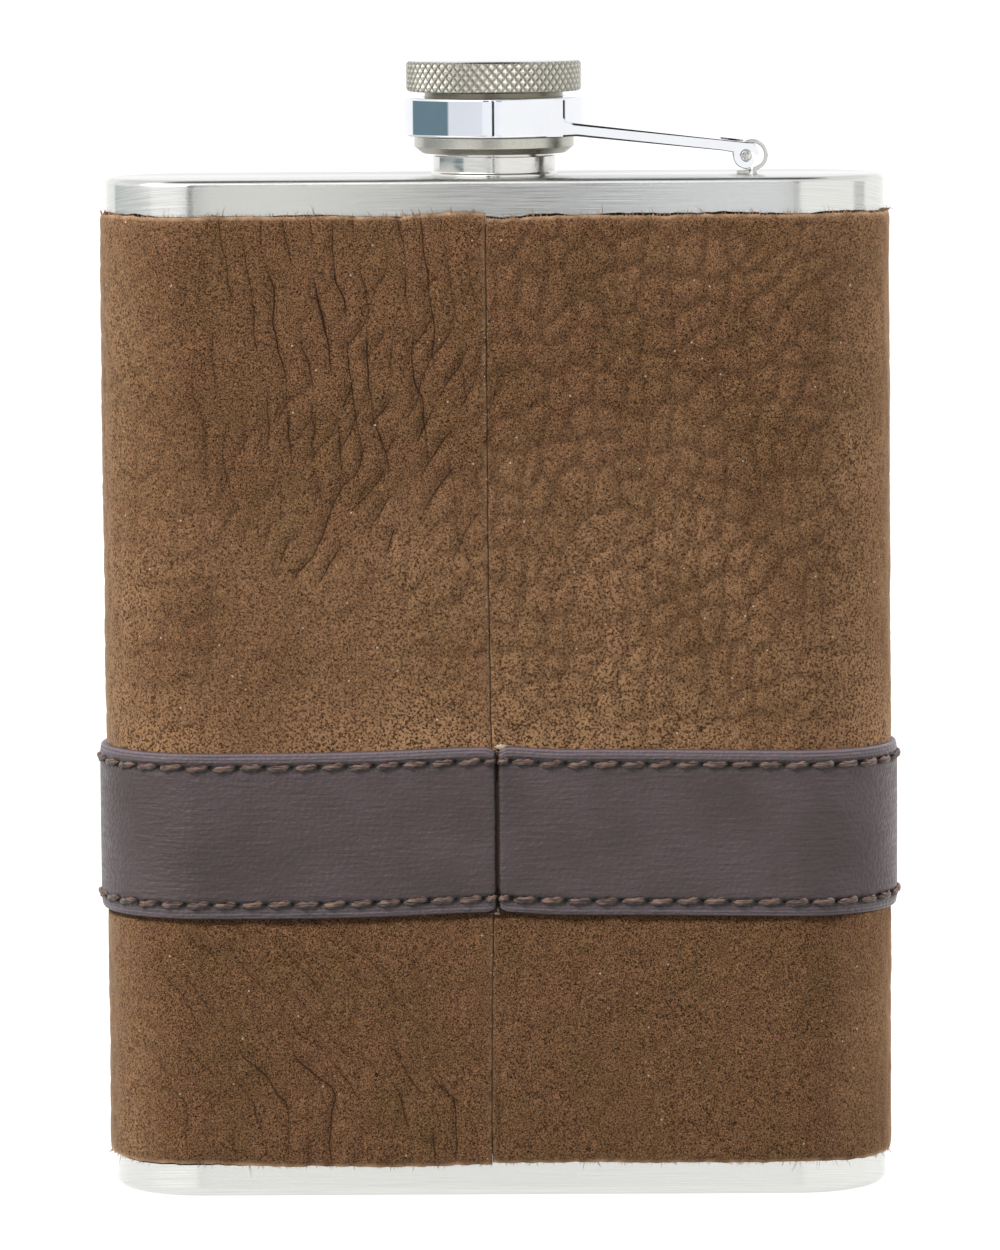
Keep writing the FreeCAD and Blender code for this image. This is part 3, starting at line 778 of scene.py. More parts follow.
def strap_climb(distance):
    """How far the strap's line is above its level. Both ends climb to the joint, the left from further."""
    right = 0.55 * np.exp(-(distance / 5.5) ** 2)
    left = 0.5 * np.exp(-((strap_round - distance) / 10) ** 2)
    sway = 0.16 * np.sin(2 * math.pi * distance / strap_round * 3 + 1.0)
    return right + left + sway * np.clip(np.minimum(distance, strap_round - distance) / 12, 0, 1)


# Rows from the lower edge to the upper one, closer together on the creased edges and along the stitches.
edge_rows = np.array([0, 0.05, 0.15, 0.28, 0.42, 0.55, 0.68, 0.8, 0.92, 1.03, 1.13, 1.22, 1.32, 1.42,
                      1.52, 1.62, 1.72, 1.82, 1.92, 2.02, 2.14, 2.28, 2.5, 2.9])
middle_rows = np.linspace(3.6, strap_height - 3.6, 13)
strap_rows = np.concatenate([edge_rows, middle_rows, strap_height - edge_rows[::-1]])[:, None]
from_edge = np.minimum(strap_rows, strap_height - strap_rows)

# The edge rolls down to the wrap through 1.2 mm, with two iron lines along it and a groove at its foot.
roll = 0.7 * np.sqrt(np.clip(1 - (1 - np.clip(from_edge / edge_roll, 0, 1)) ** 2, 0, 1))
roll = roll + 0.3 * np.clip(from_edge / edge_slope, 0, 1)
iron = 0.03 * np.cos(2 * math.pi * from_edge / iron_pitch) * np.exp(-((from_edge - 0.62) / 0.34) ** 4)
groove = 0.05 * np.exp(-((from_edge - 1.28) / 0.12) ** 2)
channel = 0.06 * np.exp(-((from_edge - stitch_inset) / 0.4) ** 2)
face_wave = 0.02 * soft_noise(strap_steps / 7, strap_rows / 9, 41)
strap_profile = strap_thickness * roll - iron - groove - channel + face_wave

# Needle holes: the thread pulls the leather down where it dives between one stitch and the next.
hole_place = strap_steps / stitch_pitch - 0.5
to_hole = (hole_place - np.round(hole_place)) * stitch_pitch
hole = np.exp(-(to_hole / hole_length) ** 2 - ((from_edge - stitch_inset) / hole_width) ** 2)
# The holes and the joint are also painted near-black as shade.
hole = np.maximum(hole * (joint_distance > 0.3), 1.2 * np.exp(-joint_distance / 0.12))
# A band of painted shadow lies under each row of thread.
pressed = np.exp(-((from_edge - stitch_inset) / 0.55) ** 4)
strap_profile = strap_profile - hole_depth * np.clip(hole, 0, 1)

# The ends round over into the joint, and their corners are cut back.
strap_profile = strap_profile - 0.3 * np.exp(-joint_distance / 0.22) * (from_edge > 0.2)
corner = 0.75 * np.clip(1 - joint_distance / 1.6, 0, 1) ** 2.2
strap_levels = strap_low[2] + strap_rows + strap_climb(strap_steps)
middle_level = strap_low[2] + strap_height / 2 + strap_climb(strap_steps)
squeeze = 1 - corner / (strap_height / 2)
strap_levels = middle_level + (strap_levels - middle_level) * squeeze
strap_outer = sleeve_radius - 0.05 + np.clip(strap_profile + 0.05, 0, None)

strap_radii = np.concatenate([strap_outer, np.full((2, len(strap_steps)), sleeve_radius - 0.12)])
strap_levels = np.concatenate([strap_levels, strap_levels[-1:], strap_levels[:1]])
strap_radii = np.concatenate([strap_radii, strap_radii[:1]])
strap_levels = np.concatenate([strap_levels, strap_levels[:1]])
strap_wander = 0.05 * soft_noise(strap_levels / 3.5, 0 * strap_levels, 43) * np.exp(-joint_distance / 1.5)
strap_place = joint_gap / 2 + strap_steps * (strap_round - joint_gap) / strap_round
centre, out_x, out_y = around_body(strap_place, strap_radius)
strap_points = np.stack([centre + strap_radii * out_x + strap_wander, strap_radii * out_y, strap_levels],
                        axis=-1)
strap_map = np.stack([np.broadcast_to(strap_steps, strap_radii.shape), strap_levels], axis=-1)


def strap_mark(values):
    """Gives a mark that was worked out on the strap's outside zeros on its inside rows."""
    padded = np.zeros(strap_radii.shape)
    padded[:len(values)] = values
    return padded


edge_mark = np.exp(-(from_edge / 1.05) ** 6) * (1 + 0 * strap_steps)
# Painted highlights along the crests of the iron ridges on both edges.
ridge_highlight = (0.5 - 0.5 * np.cos(2 * math.pi * from_edge / iron_pitch)) * edge_mark

# Dyed strap leather: a pigmented, lightly waxed finish. Fine pores 0.5 mm apart and faint pull marks
# keep its shine soft. The iron ridges on its edges carry pale, slightly bluish painted highlights.
strap_pore = 0.5
strap_leather, tree, shader = start_material("dyed_strap_leather", {
    "IOR": 1.5, "Specular IOR Level": 0.45, "Sheen Weight": 0.08, "Sheen Roughness": 0.4,
    "Sheen Tint": "#a89da6"})
place = add(tree, "UVMap", uv_map="surface")
pores = add(tree, "TexVoronoi", {"Vector": place, "Scale": 1 / (strap_pore * MM)}, feature="F1")
pull_place = add(tree, "Mapping", {"Vector": place, "Rotation": (0, 0, math.radians(-38)),
                                   "Scale": (1 / (4 * MM), 1 / (0.5 * MM), 1)})
pulls = add(tree, "TexNoise", {"Vector": pull_place, "Scale": 1.0, "Detail": 3.0})
blotches = add(tree, "TexNoise", {"Vector": place, "Scale": 1 / (9 * MM), "Detail": 4.0})
strap_marks = {"hole": hole, "pressed": pressed + 0 * hole, "edge": edge_mark, "iron": ridge_highlight}
marks = {name: add(tree, "Attribute", attribute_name=name).outputs["Fac"] for name in strap_marks}
ground = add(tree, "MapRange", {"Value": blotches, "From Min": 0.35, "From Max": 0.65})
dye = add(tree, "Mix", {0: ground, 6: "#3a2e2e", 7: "#463a3b"}, data_type="RGBA")
speck = add(tree, "MapRange", {"Value": pores, "From Min": 0.0, "From Max": 0.35,
                               "To Min": 0.35, "To Max": 0.0})
dotted = add(tree, "Mix", {0: speck, 6: dye, 7: "#2b2222"}, data_type="RGBA")
rim = add(tree, "Mix", {0: marks["edge"], 6: dotted, 7: "#413637"}, data_type="RGBA", clamp_factor=True)
ridge_highlighted = add(tree, "Math", {0: marks["iron"], 1: 0.3}, operation="MULTIPLY")
lined = add(tree, "Mix", {0: ridge_highlighted, 6: rim, 7: "#9a8f98"}, data_type="RGBA")
# Painted shadow under the thread.
under_thread = add(tree, "Math", {0: marks["pressed"], 1: 0.9}, operation="MULTIPLY")
pressed_in = add(tree, "Mix", {0: under_thread, 6: lined, 7: "#120c0b"}, data_type="RGBA")
# Painted shade: the needle holes and the joint turn near-black.
hole_shaded = add(tree, "Mix", {0: marks["hole"], 6: pressed_in, 7: "#050303"},
              data_type="RGBA", clamp_factor=True)
gloss = add(tree, "MapRange", {"Value": pulls, "From Min": 0.3, "From Max": 0.7,
                               "To Min": 0.34, "To Max": 0.52})
skin = add(tree, "Math", {0: pulls, 1: 2.5, 2: pores}, operation="MULTIPLY_ADD")
skin_bump = add(tree, "Bump", {"Height": skin, "Distance": 0.09 * MM, "Strength": 0.9})
wire(shader, {"Base Color": hole_shaded, "Roughness": gloss, "Normal": skin_bump})

strap_marks = {mark: strap_mark(values) for mark, values in strap_marks.items()}
sewn_strap = surface_piece("sewn_strap", strap_points, strap_map, strap_marks, cap_ends=True, sharp=70)
sewn_strap.data.materials.append(strap_leather)
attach(sewn_strap, "flask")
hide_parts("strap_face")


# Beads of cement squeezed out where the two ends meet, with hide dust stuck in them.
bead_turn = np.linspace(0, 2 * math.pi, 33)
bead_rise = np.linspace(-math.pi / 2, math.pi / 2, 17)[:, None]
bead_shape = np.stack([np.cos(bead_rise) * np.cos(bead_turn), np.cos(bead_rise) * np.sin(bead_turn),
                       np.sin(bead_rise) + 0 * bead_turn], axis=-1)
joint_top = strap_high[2] + strap_climb(np.array([0.0]))[0]
joint_foot = strap_low[2] + strap_climb(np.array([0.0]))[0]
beads = (("upper_cement_bead", 0.55, joint_top - 0.15, (0.8, 0.22, 0.33)),
         ("lower_cement_bead", -0.1, joint_foot + 0.2, (0.55, 0.25, 0.5)))
for bead_name, bead_x, bead_z, bead_size in beads:
    lumps = 1 + 0.35 * soft_noise(4 * bead_shape[:, :, 0] + 7 * bead_z, 3 * bead_shape[:, :, 2], 37)
    lumps[0], lumps[-1] = 1, 1
    lumps[:, -1] = lumps[:, 0]
    bead = surface_piece(bead_name, bead_shape * lumps[:, :, None] * bead_size
                         + [bead_x, -sleeve_radius - 0.05, bead_z], sharp=80)
    bead.data.materials.append(dried_cement)
    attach(bead, "flask")


# ---- Stitches --------------------------------------------------------------------------------------------
# Two rows of lockstitch in bonded brown thread, 3.3 mm a stitch. Each stitch is a short length of two-ply
# cord that swells between two needle holes and dives into both.

thread_stations = 11
thread_sides = 9
stitch_half = 1.46
short_place, short_half = 0.78, 0.72
stitch_tilt, stitch_scatter = 0.17, 0.05
along_stitch = np.linspace(-1, 1, thread_stations)[:, None]
round_stitch = np.linspace(0, 2 * math.pi, thread_sides)
swell = np.clip(1 - np.abs(along_stitch) ** 3.2, 0, 1) ** 0.55
plies = 1 + 0.2 * np.cos(2 * round_stitch - 2.2 * math.pi * along_stitch)
thread_up = (0.08 + 0.31 * swell) * plies * np.sin(round_stitch)
thread_out = (0.06 + 0.24 * swell) * plies * np.cos(round_stitch)
thread_lift = 0.16 - 0.5 * np.abs(along_stitch) ** 4


def stitch_points(place, half, level, tilt):
    """One stitch on the strap: its middle at a distance round it, half its length, its level and its tilt."""
    path = np.clip(place + half * along_stitch, 0.02, strap_round - 0.02) + 0 * round_stitch
    centre, out_x, out_y = around_body(path, strap_radius)
    radius = strap_radius - 0.06 + thread_lift + thread_out
    z = level + tilt * along_stitch + thread_up + strap_climb(path)
    ring = np.stack([centre + radius * out_x, radius * out_y, z], axis=-1)
    ends = np.stack([ring[0].mean(axis=0), ring[-1].mean(axis=0)])[:, None]
    ends = np.broadcast_to(ends, (2, thread_sides, 3))
    return np.concatenate([ends[:1], ring, ends[1:]])


def stitch_row(name, level, seed):
    """A whole row as one piece: full stitches with a little scatter, and a short one beside the joint."""
    chance = np.random.default_rng(seed)
    places = stitch_pitch * np.arange(1, stitch_count + 1)
    halves = stitch_half + chance.normal(0, stitch_scatter, stitch_count)
    places = np.concatenate([[short_place], places, [strap_round - short_place]])
    halves = np.concatenate([[short_half], halves, [short_half]])
    tilts = stitch_tilt + chance.normal(0, stitch_scatter, len(places))
    shifts = chance.normal(0, stitch_scatter, len(places))
    grids = [stitch_points(p, h, level + s, t) for p, h, s, t in zip(places, halves, shifts, tilts)]
    rows, columns = grids[0].shape[:2]
    faces = [grid_faces(rows, columns) + i * rows * columns for i in range(len(grids))]
    return closed_piece(name, np.concatenate(grids), np.concatenate(faces).tolist())


# Bonded polyester thread: two plies twisted together and coated, so it shines a little along each ply. The
# twist is drawn 1.1 mm long.
bonded_thread, tree, shader = start_material("bonded_polyester_thread", {
    "Roughness": 0.5, "IOR": 1.5, "Specular IOR Level": 0.5, "Sheen Weight": 0.1, "Sheen Roughness": 0.4})
place = add(tree, "TexCoord").outputs["Object"]
strand_place = add(tree, "Mapping", {"Vector": place, "Rotation": (0, math.radians(32), 0),
                                     "Scale": (1 / (1.8 * MM), 1 / (0.5 * MM), 1 / (0.14 * MM))})
strands = add(tree, "TexNoise", {"Vector": strand_place, "Scale": 1.0, "Detail": 2.0})
strand_step = add(tree, "MapRange", {"Value": strands, "From Min": 0.35, "From Max": 0.68})
tint = add(tree, "Mix", {0: strand_step, 6: "#0a0504", 7: "#786055"}, data_type="RGBA")
strand_bump = add(tree, "Bump", {"Height": strands, "Distance": 0.08 * MM, "Strength": 0.8})
wire(shader, {"Base Color": tint, "Normal": strand_bump})

for row_name, level, seed in (("upper", strap_high[2] - stitch_inset, 51),
                              ("lower", strap_low[2] + stitch_inset, 52)):
    thread_row = stitch_row(f"{row_name}_thread", level, seed)
    thread_row.data.materials.append(bonded_thread)
    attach(thread_row, "flask")
    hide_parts(f"{row_name}_stitch_row")
    for part_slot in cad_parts[f"{row_name}_bobbin_row"].material_slots:
        part_slot.material = bonded_thread


# ---- Captive arm -----------------------------------------------------------------------------------------
# One zinc casting with a chromed finish: a ring that sits loosely round the cap's waist, a block on each
# side of it, and a tapered plate forked at its tip, where two open eyes are closed round the hinge pin.

arm_low, arm_high = box_of("captive_arm")
ring_low = shoulder + 4.85
ring_high = arm_high[2]
ring_radius = -arm_low[0]
ring_bore = 8.75
ring_edge = 0.25
bore_edge = 0.2

# Chrome plate over polished nickel: a hard blue-white mirror with hardly any scatter.
chrome, tree, shader, polish = mottled_material("chrome_plate", {"Metallic": 1.0}, 3, 3.0,
                                                "#e3e5ea", "#eff1f4")
wire(shader, {"Roughness": add(tree, "MapRange", {"Value": polish, "To Min": 0.02, "To Max": 0.06})})

ring_profile = np.concatenate([
    arc(ring_radius - ring_edge, ring_low + ring_edge, ring_edge, -90, 0, 6),
    arc(ring_radius - ring_edge, ring_high - ring_edge, ring_edge, 0, 90, 6),
    arc(ring_bore + bore_edge, ring_high - bore_edge, bore_edge, 90, 180, 5),
    arc(ring_bore + bore_edge, ring_low + bore_edge, bore_edge, 180, 270, 5),
    [[ring_radius - ring_edge, ring_low]],
])
ring_grid = turned_points(supported(ring_profile), 192)

# The plate's outline in the (x, z) plane, from the root's top along the plate and round the open eye.
eye_radius = 1.6
eye_bore = 0.72
root_x = 8.5
plate_top = shoulder + 6.6
tip_thickness = 1.25
dip_x = 10.2
fork_x = hinge_x - 3.05
fork_half = 3.3
root_half = 7.6
tip_half = pin_high[1]


def spiral(start, end, radius_start, radius_end, steps):
    """An arc round the hinge pin whose radius changes evenly between its two angles, in degrees."""
    angle = np.radians(np.linspace(start, end, steps))
    radius = np.linspace(radius_start, radius_end, steps)
    return np.stack([hinge_x + radius * np.cos(angle), hinge_z + radius * np.sin(angle)], axis=-1)


plate_fall = (hinge_z + eye_radius - plate_top) / (hinge_x - root_x)
plate_outline = np.concatenate([
    [[root_x - 0.6, plate_top + 0.75], [root_x + 0.02, plate_top + 0.5], [root_x + 0.35, plate_top + 0.17],
     [root_x + 1.3, plate_top + 1.3 * plate_fall + 0.03]],
    [[fork_x, plate_top + (fork_x - root_x) * plate_fall]],
    spiral(86, 12, eye_radius, eye_radius, 14),
    spiral(7, 2, eye_radius - 0.12, 1.36, 3),
    spiral(22, 38, 0.95, eye_bore, 3),
    spiral(50, 342, eye_bore, eye_bore, 30),
    spiral(350, 348, 0.8, 0.84, 2),
    spiral(338, 275, 0.98, eye_radius, 8),
    spiral(265, 190, eye_radius, eye_radius, 12),
])
under_fall = (hinge_z + eye_radius - tip_thickness - ring_low) / (hinge_x - dip_x)
join_x = hinge_x - eye_radius * 0.97
plate_outline = np.concatenate([
    plate_outline,
    [[join_x, hinge_z + 0.42], [fork_x, ring_low + (fork_x - dip_x) * under_fall],
     [dip_x, ring_low + 0.02], [root_x - 0.6, ring_low + 0.02]],
])


def inset(outline, amount):
    """A clockwise outline with each point moved inwards, square to the line between its two neighbours."""
    along = np.roll(outline, -1, axis=0) - np.roll(outline, 1, axis=0)
    along /= np.linalg.norm(along, axis=1)[:, None]
    return outline + amount[:, None] * np.stack([along[:, 1], -along[:, 0]], axis=-1)


def forked_plate(outline):
    """The plate as points and faces. Its outline is set at six widths: both chamfered faces, where it is
    drawn in, their full outlines, and both sides of the fork. The edge quads skip the fork's gap past fork_x,
    and one quad closes the fork's root."""
    count = len(outline)
    chamfer = np.where(outline[:, 0] < fork_x, 0.26, 0.09)
    chamfer = np.where(outline[:, 0] > hinge_x + 0.3, 0.03, chamfer)
    drawn_in = inset(outline, chamfer)
    taper = np.clip((outline[:, 0] - root_x) / (hinge_x - root_x), 0, 1)
    half = root_half + (tip_half - root_half) * taper
    fork = np.full(count, fork_half)
    lanes = ((drawn_in, -half), (outline, chamfer - half), (outline, -fork), (outline, fork),
             (outline, half - chamfer), (drawn_in, half))
    points = np.stack([np.stack([line[:, 0], width, line[:, 1]], axis=-1) for line, width in lanes])
    index = np.arange(6 * count).reshape(6, count)
    nearby = outline[:, 0] < fork_x + 0.001
    first = int(np.argmin(nearby)) - 1
    last = count - int(np.argmin(nearby[::-1]))
    faces = [index[0].tolist(), index[5][::-1].tolist()]
    faces += [index[2][first:last + 1][::-1].tolist(), index[3][first:last + 1].tolist()]
    for lane in range(5):
        for here in range(count):
            there = (here + 1) % count
            if lane == 2 and first <= here < last:
                continue
            faces.append([int(index[lane, here]), int(index[lane + 1, here]),
                          int(index[lane + 1, there]), int(index[lane, there])])
    faces.append([int(index[2, first]), int(index[3, first]), int(index[3, last]), int(index[2, last])])
    return points.reshape(-1, 3), faces


plate_points, plate_faces = forked_plate(plate_outline)
pad_start, pad_end, pad_half = 6.6, 8.5, 8.4
pad_plan = np.array([[5.2, 0.4], [pad_start - 0.35, 0.52], [pad_start, 0.6], [pad_end, -0.5], [pad_end, -3.2],
                     [5.2, -3.2]]) + [0, pad_half]


def pad_block(side):
    """A block on one side of the ring, as an upright prism from its plan."""
    low, high = ring_low + 0.03, ring_high - 0.15
    count = len(pad_plan)
    points = np.array([[x, side * y, z] for z in (low, high) for x, y in pad_plan])
    ring = np.arange(count)
    sides = np.stack([ring, (ring + 1) % count, (ring + 1) % count + count, ring + count], axis=-1)
    return points, sides.tolist() + [ring.tolist(), (ring + count).tolist()]


arm_points = [ring_grid.reshape(-1, 3)]
arm_faces = grid_faces(*ring_grid.shape[:2]).tolist()
start = len(arm_points[0])
for points, faces in ((plate_points, plate_faces), pad_block(-1), pad_block(1)):
    arm_faces += [[corner + start for corner in face] for face in faces]
    start += len(points)
    arm_points.append(points)
chromed_arm = closed_piece("chromed_arm", np.concatenate(arm_points), arm_faces, sharp=28)
chromed_arm.data.materials.append(chrome)
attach(chromed_arm, "arm")
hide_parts("captive_arm")


# ---- Hinge pin -------------------------------------------------------------------------------------------
# A straight stainless pin through the rolled bracket. The arm's eyes are closed on its two ends.

pin_radius = 0.65
pin_edge = 0.12
pin_reach = pin_high[1]
pin_profile = np.concatenate([
    [[0, -pin_reach]],
    arc(pin_radius - pin_edge, -pin_reach + pin_edge, pin_edge, -90, 0, 4),
    arc(pin_radius - pin_edge, pin_reach - pin_edge, pin_edge, 0, 90, 4),
    [[0, pin_reach]],
])
pin_points = turned_points(supported(pin_profile), 40)
pin_points = np.stack([hinge_x + pin_points[:, :, 0], pin_points[:, :, 2], hinge_z + pin_points[:, :, 1]],
                      axis=-1)
hinge_wire = surface_piece("hinge_wire", pin_points)
hinge_wire.data.materials.append(polished_steel)
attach(hinge_wire, "flask")
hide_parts("hinge_pin")


# ---- Cap head --------------------------------------------------------------------------------------------
# The cap is turned from stainless bar: a diamond-knurled grip under a low polished dome, a plain waist for
# the captive ring, and a threaded bore that opens downwards.

knurl_count = 60
knurl_rise = 1.25
knurl_depth = 0.3
knurl_low, knurl_high = 10.25, 13.9
knurl_radius = box_of("cap_head")[1][0]
knurl_chamfer = 0.35
waist_radius = 8.45
spigot_radius = 8.1
bore_radius = 7.4
bore_top = 9.9
bore_thread_low, bore_thread_high, bore_thread_height = 3.6, 8.6, 0.3
cap_foot = 2.7
collar_top = 4.75
dome_height = 1.3
dome_rim = knurl_radius - knurl_chamfer
dome_radius = (dome_rim ** 2 + dome_height ** 2) / (2 * dome_height)
dome_start = math.degrees(math.acos(dome_rim / dome_radius))
knurl_rows = np.linspace(knurl_low, knurl_high, 30)
cap_profile = np.concatenate([
    [[0, bore_top], [bore_radius - 0.2, bore_top], [bore_radius, bore_top - 0.2]],
    np.stack([np.full(50, bore_radius), np.linspace(bore_thread_high, bore_thread_low, 50)], axis=-1),
    [[bore_radius, cap_foot + 0.2], [bore_radius + 0.2, cap_foot], [spigot_radius, cap_foot]],
    [[spigot_radius, collar_top], [waist_radius, collar_top], [waist_radius, knurl_low - 0.12],
     [waist_radius + 0.1, knurl_low - 0.02]],
    np.stack([np.full(30, knurl_radius), knurl_rows], axis=-1),
    arc(0, knurl_high + dome_height - dome_radius, dome_radius, dome_start, 90, 24),
])
cap_profile = supported(cap_profile)
knurl_grid = turned_points(cap_profile, knurl_count * 8)
knurl_band = (cap_profile[:, 0] > dome_rim) & (cap_profile[:, 1] < knurl_high + 0.01)
angle_turns = np.linspace(0, knurl_count, knurl_grid.shape[1])
slope = (cap_profile[:, 1, None] - knurl_low) / knurl_rise
diamond = np.minimum(wave(angle_turns + slope), wave(angle_turns - slope))
from_rim = np.minimum(cap_profile[:, 1] - knurl_low, knurl_high - cap_profile[:, 1])[:, None]
knurl_form = np.minimum(knurl_radius - knurl_depth * (1 - np.clip(1.15 * diamond, 0, 1)),
                        knurl_radius - knurl_chamfer + np.clip(from_rim, 0, None) * 1.2)
factor = np.where(knurl_band[:, None], knurl_form / knurl_radius, 1.0)
knurl_grid = knurl_grid * np.stack([factor, factor, np.ones_like(factor)], axis=-1) + [0, 0, shoulder]
knurl_grid = threaded_radius(knurl_grid, bore_radius, bore_thread_height, thread_pitch,
                             shoulder + bore_thread_low, shoulder + bore_thread_high)
knurl_mark = np.broadcast_to(knurl_band[:, None] * 1.0, knurl_grid.shape[:2])
waist_band = np.isclose(cap_profile[:, 0], waist_radius, atol=0.15)
knurl_mark = np.maximum(knurl_mark, waist_band[:, None])
# Painted shade: dark in the knurl's valleys and over the whole waist.
recess_shade_mark = np.where(knurl_band[:, None], 1 - diamond, waist_band[:, None] * 1.0)

# Turned stainless, left as the tools leave it: the dome is buffed bright and the knurl keeps burnished
# crests.
# Its valleys, the plain waist and the collar are painted a darker, warm grey as shade.
turned_steel, tree, shader = start_material("turned_stainless_303", {"Metallic": 1.0})
place = add(tree, "TexCoord").outputs["Object"]
knurled = add(tree, "Attribute", attribute_name="knurled")
recess_shade = add(tree, "Attribute", attribute_name="recess_shade")
grit = add(tree, "TexNoise", {"Vector": place, "Scale": 1 / (0.3 * MM), "Detail": 4.0})
bright = add(tree, "Mix", {0: grit, 6: "#e6e6ea", 7: "#f2f2f5"}, data_type="RGBA")
warm = add(tree, "Mix", {0: grit, 6: "#d3d1c5", 7: "#f0eee6"}, data_type="RGBA")
recess_shaded = add(tree, "Mix", {0: recess_shade.outputs["Fac"], 6: warm, 7: "#7d796b"},
            data_type="RGBA", clamp_factor=True)
tint = add(tree, "Mix", {0: knurled.outputs["Fac"], 6: bright, 7: recess_shaded},
           data_type="RGBA", clamp_factor=True)
gloss = add(tree, "MapRange", {"Value": knurled.outputs["Fac"], "To Min": 0.12, "To Max": 0.27})
grit_bump = add(tree, "Bump", {"Height": grit, "Distance": 0.004 * MM, "Strength": 0.5})
wire(shader, {"Base Color": tint, "Roughness": gloss, "Normal": grit_bump})

knurled_head = surface_piece("knurled_head", knurl_grid, None, {"knurled": knurl_mark, "recess_shade": recess_shade_mark})
knurled_head.data.materials.append(turned_steel)
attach(knurled_head, "cap")
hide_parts("cap_head")


# ---- Cap collar ------------------------------------------------------------------------------------------
# A bevelled ring pressed on the waist from below, after the captive ring is on. It keeps the cap and the
# arm together.

collar_radius = box_of("cap_collar")[1][0]
collar_bevel = 0.75
collar_profile = np.concatenate([
    [[spigot_radius + 0.01, cap_foot], [collar_radius - 1.05, cap_foot],
     [collar_radius - 0.95, cap_foot + 0.05]],
    arc(collar_radius - 0.15, cap_foot + collar_bevel + 0.1, 0.15, -30, 0, 3),
    arc(collar_radius - 0.12, collar_top - 0.12, 0.12, 0, 90, 4),
    [[spigot_radius + 0.01, collar_top], [spigot_radius + 0.01, cap_foot]],
])
collar_points = turned_points(supported(collar_profile) + [0, shoulder], 160)
# The collar carries about half the painted shade all over.
collar_marks = {"knurled": np.ones(collar_points.shape[:2]), "recess_shade": np.full(collar_points.shape[:2], 0.45)}
pressed_collar = surface_piece("pressed_collar", collar_points, None, collar_marks, sharp=25)
pressed_collar.data.materials.append(turned_steel)
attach(pressed_collar, "cap")
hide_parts("cap_collar")


# ---- Cap gasket ------------------------------------------------------------------------------------------
# A disc of clear food-grade silicone, pressed into the top of the cap's bore. It seals on the neck's rim,
# which leaves a shallow ring in it.

# Clear silicone rubber: satin and slightly milky, so light sinks 0.8 mm into it.
silicone = mottled_material("clear_silicone", {
    "Roughness": 0.42, "IOR": 1.41, "Subsurface Weight": 0.3, "Subsurface Scale": 0.8 * MM,
    "Specular IOR Level": 0.4}, 2, 2.0, "#cfcfc9", "#e2e2dc")[0]
gasket_low, gasket_high = box_of("cap_gasket")
gasket_radius = gasket_high[0]
gasket_profile = np.array([
    [0, gasket_low[2]], [5.4, gasket_low[2]], [5.6, gasket_low[2] + 0.1], [6.3, gasket_low[2] + 0.1],
    [6.5, gasket_low[2]], [gasket_radius - 0.1, gasket_low[2]], [gasket_radius, gasket_low[2] + 0.1],
    [gasket_radius, gasket_high[2] - 0.1], [gasket_radius - 0.1, gasket_high[2]], [0, gasket_high[2]]])
sealing_disc = surface_piece("sealing_disc", turned_points(supported(gasket_profile), 96))
sealing_disc.data.materials.append(silicone)
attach(sealing_disc, "cap")
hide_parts("cap_gasket")


# ---- Floor, light and camera -----------------------------------------------------------------------------
# A plain white light table in an evenly lit white studio. Dark panels, a curtain and a narrow stand give the
# mirror-bright steel something to show. One large soft lamp grazes the leather and two more light its right
# side and its back.

floor_radius = 1000.0
floor_turn = np.linspace(0, 2 * math.pi, 97)
floor_rows = np.linspace(0, floor_radius, 5)[:, None]
floor_points = np.stack([floor_rows * np.cos(floor_turn), floor_rows * np.sin(floor_turn),
                         0 * floor_rows * floor_turn - 0.02], axis=-1)
table_top = surface_piece("table_top", floor_points)
table_paint, tree, shader, _ = mottled_material("lit_opal_glass", {
    "Roughness": 0.8, "Specular IOR Level": 0.2, "Emission Color": "#ffffff"}, 40, 3.0, "#4c4c4c", "#505050")
ray = add(tree, "LightPath")
glow = add(tree, "Math", {0: ray.outputs["Is Diffuse Ray"], 1: -0.85, 2: 1.0}, operation="MULTIPLY_ADD")
wire(shader, {"Emission Strength": glow})
table_top.data.materials.append(table_paint)

# The surround is white. Low down it has a blue-grey panel on the left and a narrow black one on the right,
# and a gap between the lamps overhead. It lights matt surfaces less than it shows in mirrors, so that the
# lamp above can model the leather.
world = bpy.data.worlds.new("studio")
bpy.context.scene.world = world
world.use_nodes = True
tree = world.node_tree
surround = tree.nodes["Background"]
place = add(tree, "TexCoord").outputs["Generated"]
parts = add(tree, "SeparateXYZ", {0: place})
ahead = add(tree, "Math", {0: parts.outputs[1], 1: -1.0}, operation="MULTIPLY")
bearing = add(tree, "Math", {0: parts.outputs[0], 1: ahead}, operation="ARCTAN2")
turn = add(tree, "MapRange", {"Value": bearing, "From Min": -math.pi, "From Max": math.pi})
panel_edges = ((-180, "#ffffff"), (-125, "#ffffff"), (-123, "#6b828b"), (-60, "#6b828b"), (-58, "#e2e4e9"),
               (-2, "#e6e8ed"), (8, "#fdfdfd"), (83, "#fdfdfd"), (85, "#202022"), (102, "#202022"),
               (104, "#ffffff"))
panels = add(tree, "ValToRGB", {0: turn},
             stops=[(degrees / 360 + 0.5, code) for degrees, code in panel_edges])
height = add(tree, "Math", {0: parts.outputs[2], 1: -0.04}, operation="SUBTRACT")
away = add(tree, "Math", {0: height}, operation="ABSOLUTE")
outside = add(tree, "MapRange", {"Value": away, "From Min": 0.045, "From Max": 0.06})
stand_edges = ((-180, "#ffffff"), (-10, "#ffffff"), (-7.5, "#1c1c1e"), (-5.5, "#1c1c1e"), (-3.5, "#ffffff"),
               (3.5, "#ffffff"), (6.5, "#6a6a6c"), (9, "#6a6a6c"), (12, "#ffffff"))
